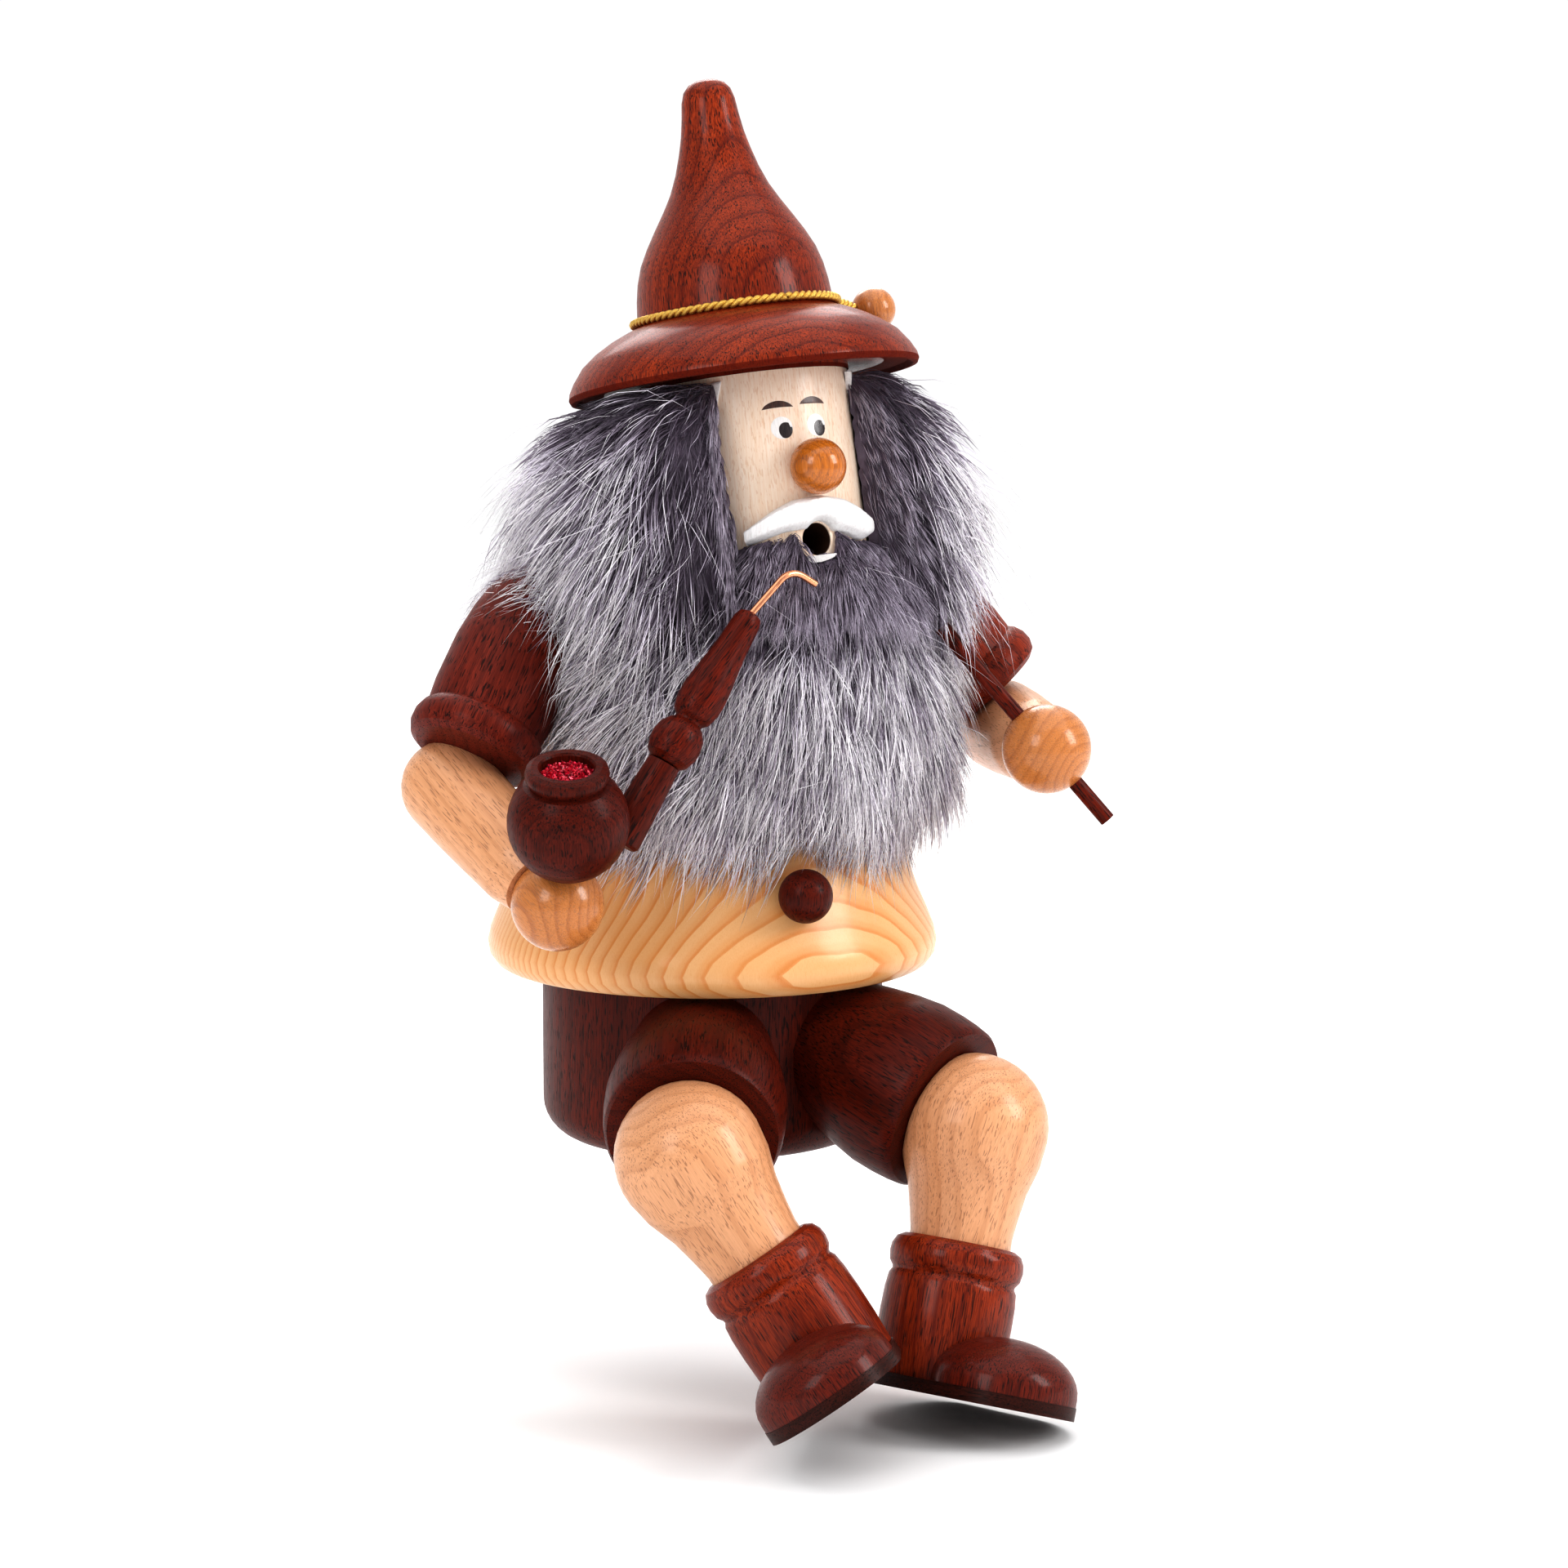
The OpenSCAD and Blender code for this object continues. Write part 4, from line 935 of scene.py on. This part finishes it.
FUR = fur_coat()
WIG = Hide(
    head_points, (-313, -47),
    [(28.5, -2), (37, -4), (44, -9), (49, -17), (52, -27), (53, -38), (52, -50), (48, -60)],
    [(-313, 0.42), (-300, 0.66), (-285, 0.80), (-240, 1.0), (-180, 1.13), (-120, 1.10), (-80, 1.0),
     (-60, 0.78), (-47, 0.42)],
    [(-313, 4), (-290, 14), (-240, 18), (-180, 0), (-120, -20), (-90, -28), (-60, -20), (-47, -12)],
    HEAD_R / MM + 0.4)
NAPE = Hide(
    trunk_points, (-298, -62), [(36, 112), (44, 107), (50, 100), (54, 91), (55, 81), (51, 73)],
    [(-298, 0.96), (-280, 1.0), (-240, 0.92), (-180, 0.86), (-110, 0.94), (-62, 0.96)],
    [(-298, 2), (-240, 12), (-180, 0), (-110, -20), (-62, -35)], 30.0)
BEARD = Hide(
    trunk_points, (-60, 66),
    [(42, 113), (47, 108), (52, 99), (55.5, 87), (57.5, 72), (57.5, 60), (55, 51), (51, 47)],
    [(-60, 0.86), (-50, 0.98), (0, 1.0), (50, 1.04), (66, 1.02)],
    [(-60, -46), (-30, -32), (0, -19), (30, -11), (66, -3)], 38.0)
CHIN = Hide(
    head_points, (-46, 46), [(27.6, -42.4), (29.0, -45.5), (30.6, -49), (32.4, -54), (34, -60)],
    [(-48, 1), (48, 1)], [(-48, -30), (0, -8), (48, 14)], 26.0,
    [(-48, -2.4), (-30, -1.2), (-13, 0.4), (-10, -6.0), (10, -6.0), (13, 0.2), (30, -3.2), (48, -3.2)])


def face_edge(roots):
    """1 beside the face and under the brim, 0 further off."""
    far = np.minimum((-47 - roots["phi"]) / 25, (roots["phi"] + 313) / 13)
    return np.maximum(1 - ease(far), 0.92 * (1 - ease((roots["v"] - 0.06) / 0.36)))


def beard_top(roots):
    return 1 - ease((roots["v"] - 0.12) / 0.26)


def outside_sleeves(roots):
    keep = np.ones(len(roots["p"]), bool)
    for at, rot, height, reach in OBSTACLES[2:4]:
        local = (roots["p"] - at) @ rot
        limit = np.interp(local[:, 2], height, reach, left=0, right=0)
        keep &= np.hypot(local[:, 0], local[:, 1]) > limit
    return pick(roots, keep)


def coat(name, node, hide, seed, counts, dark, long=26.0, lift=34.0, short=12.0):
    """Undercoat, fine under hair, clumped guard hair, single white hairs and a few strays on one hide."""
    rng = np.random.default_rng(seed)
    pieces = [hide.core(name + "_undercoat", FUR, 1.0)]

    def rooted(count, thin):
        roots = outside_sleeves(hide.sample(rng, count))
        return pick(roots, rng.random(len(roots["p"])) > thin * dark(roots))

    roots = rooted(counts[0], 0.0)
    shade = dark(roots)
    pieces.append(strands(name + "_under_hair", roots, 0.62 * long + (0.5 * short - 0.62 * long) * shade,
                          lift + 12, 0.13, banded(lambda r: 0.48 + 0.70 * dark(r), 0.58, 0.13, 0.02, 0.3),
                          seed + 1, per=6, clump=0.4, spread=12.0))
    roots = rooted(counts[1], 0.55)
    shade = dark(roots)
    pieces.append(strands(name + "_guard_hair", roots, long + (short - long) * shade, lift + 6 * shade,
                          0.16, banded(lambda r: 0.38 + 0.62 * dark(r), 0.95, 0.12, 0.08, 0.38),
                          seed + 2, clump=0.46, spread=13.0, jitter=10.0))
    roots = rooted(counts[2], 0.8)
    shade = dark(roots)
    pieces.append(strands(name + "_white_hair", roots, 1.12 * long + (short - long) * shade, lift + 4,
                          0.15, banded(lambda r: 0.22 + 0.5 * dark(r), 1.25, 0.24, 0.03), seed + 3,
                          per=14, clump=0.2, spread=10.0, jitter=16.0, droop=0.25))
    roots = rooted(counts[3], 0.3)
    pieces.append(strands(name + "_stray_hair", roots, 1.25 * long, lift + 22, 0.085,
                          banded(-0.2, 0.9, 0.45, 0.2), seed + 4, per=2, clump=0.0, spread=20.0,
                          jitter=30.0, droop=0.05))
    for piece in pieces:
        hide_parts(node)
    return pieces


coat("wig", "hair_fur", WIG, 20, (9500, 10000, 5200, 260), face_edge, long=26.0, lift=33.0)
coat("nape", "nape_fur", NAPE, 30, (4200, 4400, 3000, 90), lambda r: np.zeros(len(r["p"])), long=23.0,
     lift=24.0)
coat("beard", "beard_fur", BEARD, 40, (8500, 9000, 4800, 160), beard_top, long=22.5, lift=27.0,
     short=15.0)


def edge_hair():
    """Short hair on the wig's cut edges beside the face."""
    rng = np.random.default_rng(60)
    count = 2600
    phi = np.where(rng.random(count) < 0.5, -47.0, -313.0)
    v = rng.random(count)
    outer = WIG.at(phi, v)
    inner = head_points(phi, WIG.level(phi, v), WIG.inner)
    share = np.sqrt(rng.random((count, 1)))
    p = inner + (outer - inner) * share
    outward = unit(outer - inner)
    turned = head_points(phi + np.where(phi > -180, 1.0, -1.0), 0, 30) - head_points(phi, 0, 30)
    normal = unit(unit(turned) + 0.5 * share * outward)
    flow = unit(DOWN + 0.55 * outward)
    roots = dict(phi=phi, v=v, p=p, normal=normal, flow=flow)
    return strands("wig_edge_hair", roots, 7.0 + 5.0 * share[:, 0], 24.0, 0.15,
                   banded(0.55, 0.55, 0.14, 0.02), 61, per=7, clump=0.45)


edge = edge_hair()
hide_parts("hair_fur")
chin = CHIN.sample(np.random.default_rng(50), 4200)
chin = pick(chin, (np.abs(chin["phi"] + 2) > 8) | (chin["v"] > 0.2))
chin = strands("chin_hair", chin, 7.0 + 11.0 * chin["v"], 32.0 - 8.0 * chin["v"], 0.12,
               banded(0.55, 0.55, 0.15, 0.02), 51, per=6, clump=0.3, spread=14.0, droop=0.9)
chin_core = CHIN.core("chin_undercoat", FUR, 0.6)
for piece in (chin, chin_core):
    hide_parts("beard_fur")


# ---------- white hide at the fur's cut edges ----------

def skin():
    s = Shader("white_hide", Roughness=0.8, Specular_IOR_Level=0.25)
    nap = s.noise(s.local(), (1.8, 1.8, 1.8), 4, 0.65)
    s.feed("Base Color", s.mix(nap, (0.70, 0.67, 0.66), (0.95, 0.94, 0.93)))
    s.bump(nap, 0.15 * MM)
    return s.material


def flap(name, node, sheet, phi, v, material):
    """A thin patch of hide over part of a Hide's surface; phi gives the span at each share v."""
    v = np.asarray(v, float)[:, None]
    across = np.linspace(0, 1, 12)[None]
    phi = np.asarray(phi, float)
    angle = phi[:, :1] + (phi[:, 1:] - phi[:, :1]) * across
    top = sheet.at(angle, v, 0.5)
    low = sheet.at(angle, v, -1.2)
    rows, cols = top.shape[:2]
    rim = turned_in(top, low)
    obj = new_mesh(name, rim.reshape(-1, 3), [grid_faces(rows + 2, cols + 2)], material)
    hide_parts(node)


white_hide = skin()
steps = np.linspace(0, 1, 10)
flap("hide_under_mouth", "beard_fur", CHIN, np.stack([-10 + 4 * steps ** 2, 7 - 9 * steps ** 2], -1),
     0.17 * steps, white_hide)
CORNER = Hide(head_points, (-60, 60), [(27.4, -1.4), (27.8, -9)], [(-60, 1), (60, 1)], [(-60, 0), (60, 0)])
flap("hide_corner_right", "hair_fur", CORNER, np.stack([-48 + 0 * steps, -42.5 - 5 * steps], -1), steps,
     white_hide)
flap("hide_corner_left", "hair_fur", CORNER, np.stack([42.5 + 5 * steps, 48 + 0 * steps], -1),
     0.7 * steps, white_hide)


# ---------- stage, light and camera ----------

def floor():
    lo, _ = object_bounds()
    n, radius, gap = 96, 2.3, 0.0006
    a = np.linspace(0, 2 * math.pi, n, endpoint=False)
    verts = np.stack([radius * np.cos(a), radius * np.sin(a), np.full(n, lo[2] - gap)], -1)
    mesh = bpy.data.meshes.new("floor")
    mesh.from_pydata(verts.tolist(), [], [list(range(n))])
    obj = in_scene("floor", mesh)
    s = Shader("pale_floor", Roughness=0.7, Specular_IOR_Level=0.2)
    s.feed("Base Color", s.mix(s.noise(s.local(), (0.01, 0.01, 0.01)), (0.93, 0.93, 0.93),
                               (0.95, 0.95, 0.95)))
    mesh.materials.append(s.material)
    obj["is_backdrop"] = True


def area_light(name, at, aim, size, power):
    data = bpy.data.lights.new(name, "AREA")
    data.shape = "RECTANGLE"
    data.size, data.size_y = size
    data.energy = power
    obj = in_scene(name, data)
    obj.location = at
    obj.rotation_euler = (Vector(aim) - Vector(at)).to_track_quat("-Z", "Y").to_euler()


floor()
middle = Vector(cad_lo) * 0.5 + Vector(cad_hi) * 0.5
area_light("key", (1.05, -0.95, 0.80), middle, (0.5, 0.8), 12.5)
area_light("fill", (-1.15, -0.75, 0.85), middle, (0.55, 0.75), 6.5)
area_light("back", (0.35, 1.1, 0.9), middle, (0.9, 0.6), 7)
area_light("overhead", (0.3, 0.6, 5.0), (0.3, 0.6, 0), (7.0, 7.0), 195)


def studio():
    """A white backdrop behind the figure and dimmer surroundings elsewhere."""
    world = bpy.data.worlds.new("studio")
    scene.world = world
    world.use_nodes = True
    nodes, links = world.node_tree.nodes, world.node_tree.links
    coord = nodes.new("ShaderNodeTexCoord")
    facing = nodes.new("ShaderNodeVectorMath")
    facing.operation = "DOT_PRODUCT"
    facing.inputs[1].default_value = (0.424, 0.906, 0.0)
    ramp = nodes.new("ShaderNodeValToRGB")
    ramp.color_ramp.elements[0].position = 0.25
    ramp.color_ramp.elements[0].color = (0.60, 0.595, 0.60, 1)
    ramp.color_ramp.elements[1].position = 0.75
    ramp.color_ramp.elements[1].color = (1, 1, 1, 1)
    links.new(coord.outputs["Generated"], facing.inputs[0])
    links.new(facing.outputs["Value"], ramp.inputs[0])
    links.new(ramp.outputs[0], nodes["Background"].inputs["Color"])
    nodes["Background"].inputs["Strength"].default_value = 1.03


studio()
scene.view_settings.view_transform = "Standard"
scene.view_settings.gamma = 0.8

camera = in_scene("camera", bpy.data.cameras.new("camera"))
scene.camera = camera
camera.data.sensor_width = 36.0
camera.data.lens = 109.09
camera.data.clip_start, camera.data.clip_end = 0.05, 50.0
camera.location = (-0.5118, -1.1430, 0.2812)
aim = Vector((0.0232, 0.0044, 0.0920))
camera.rotation_euler = (aim - camera.location).to_track_quat("-Z", "Y").to_euler()
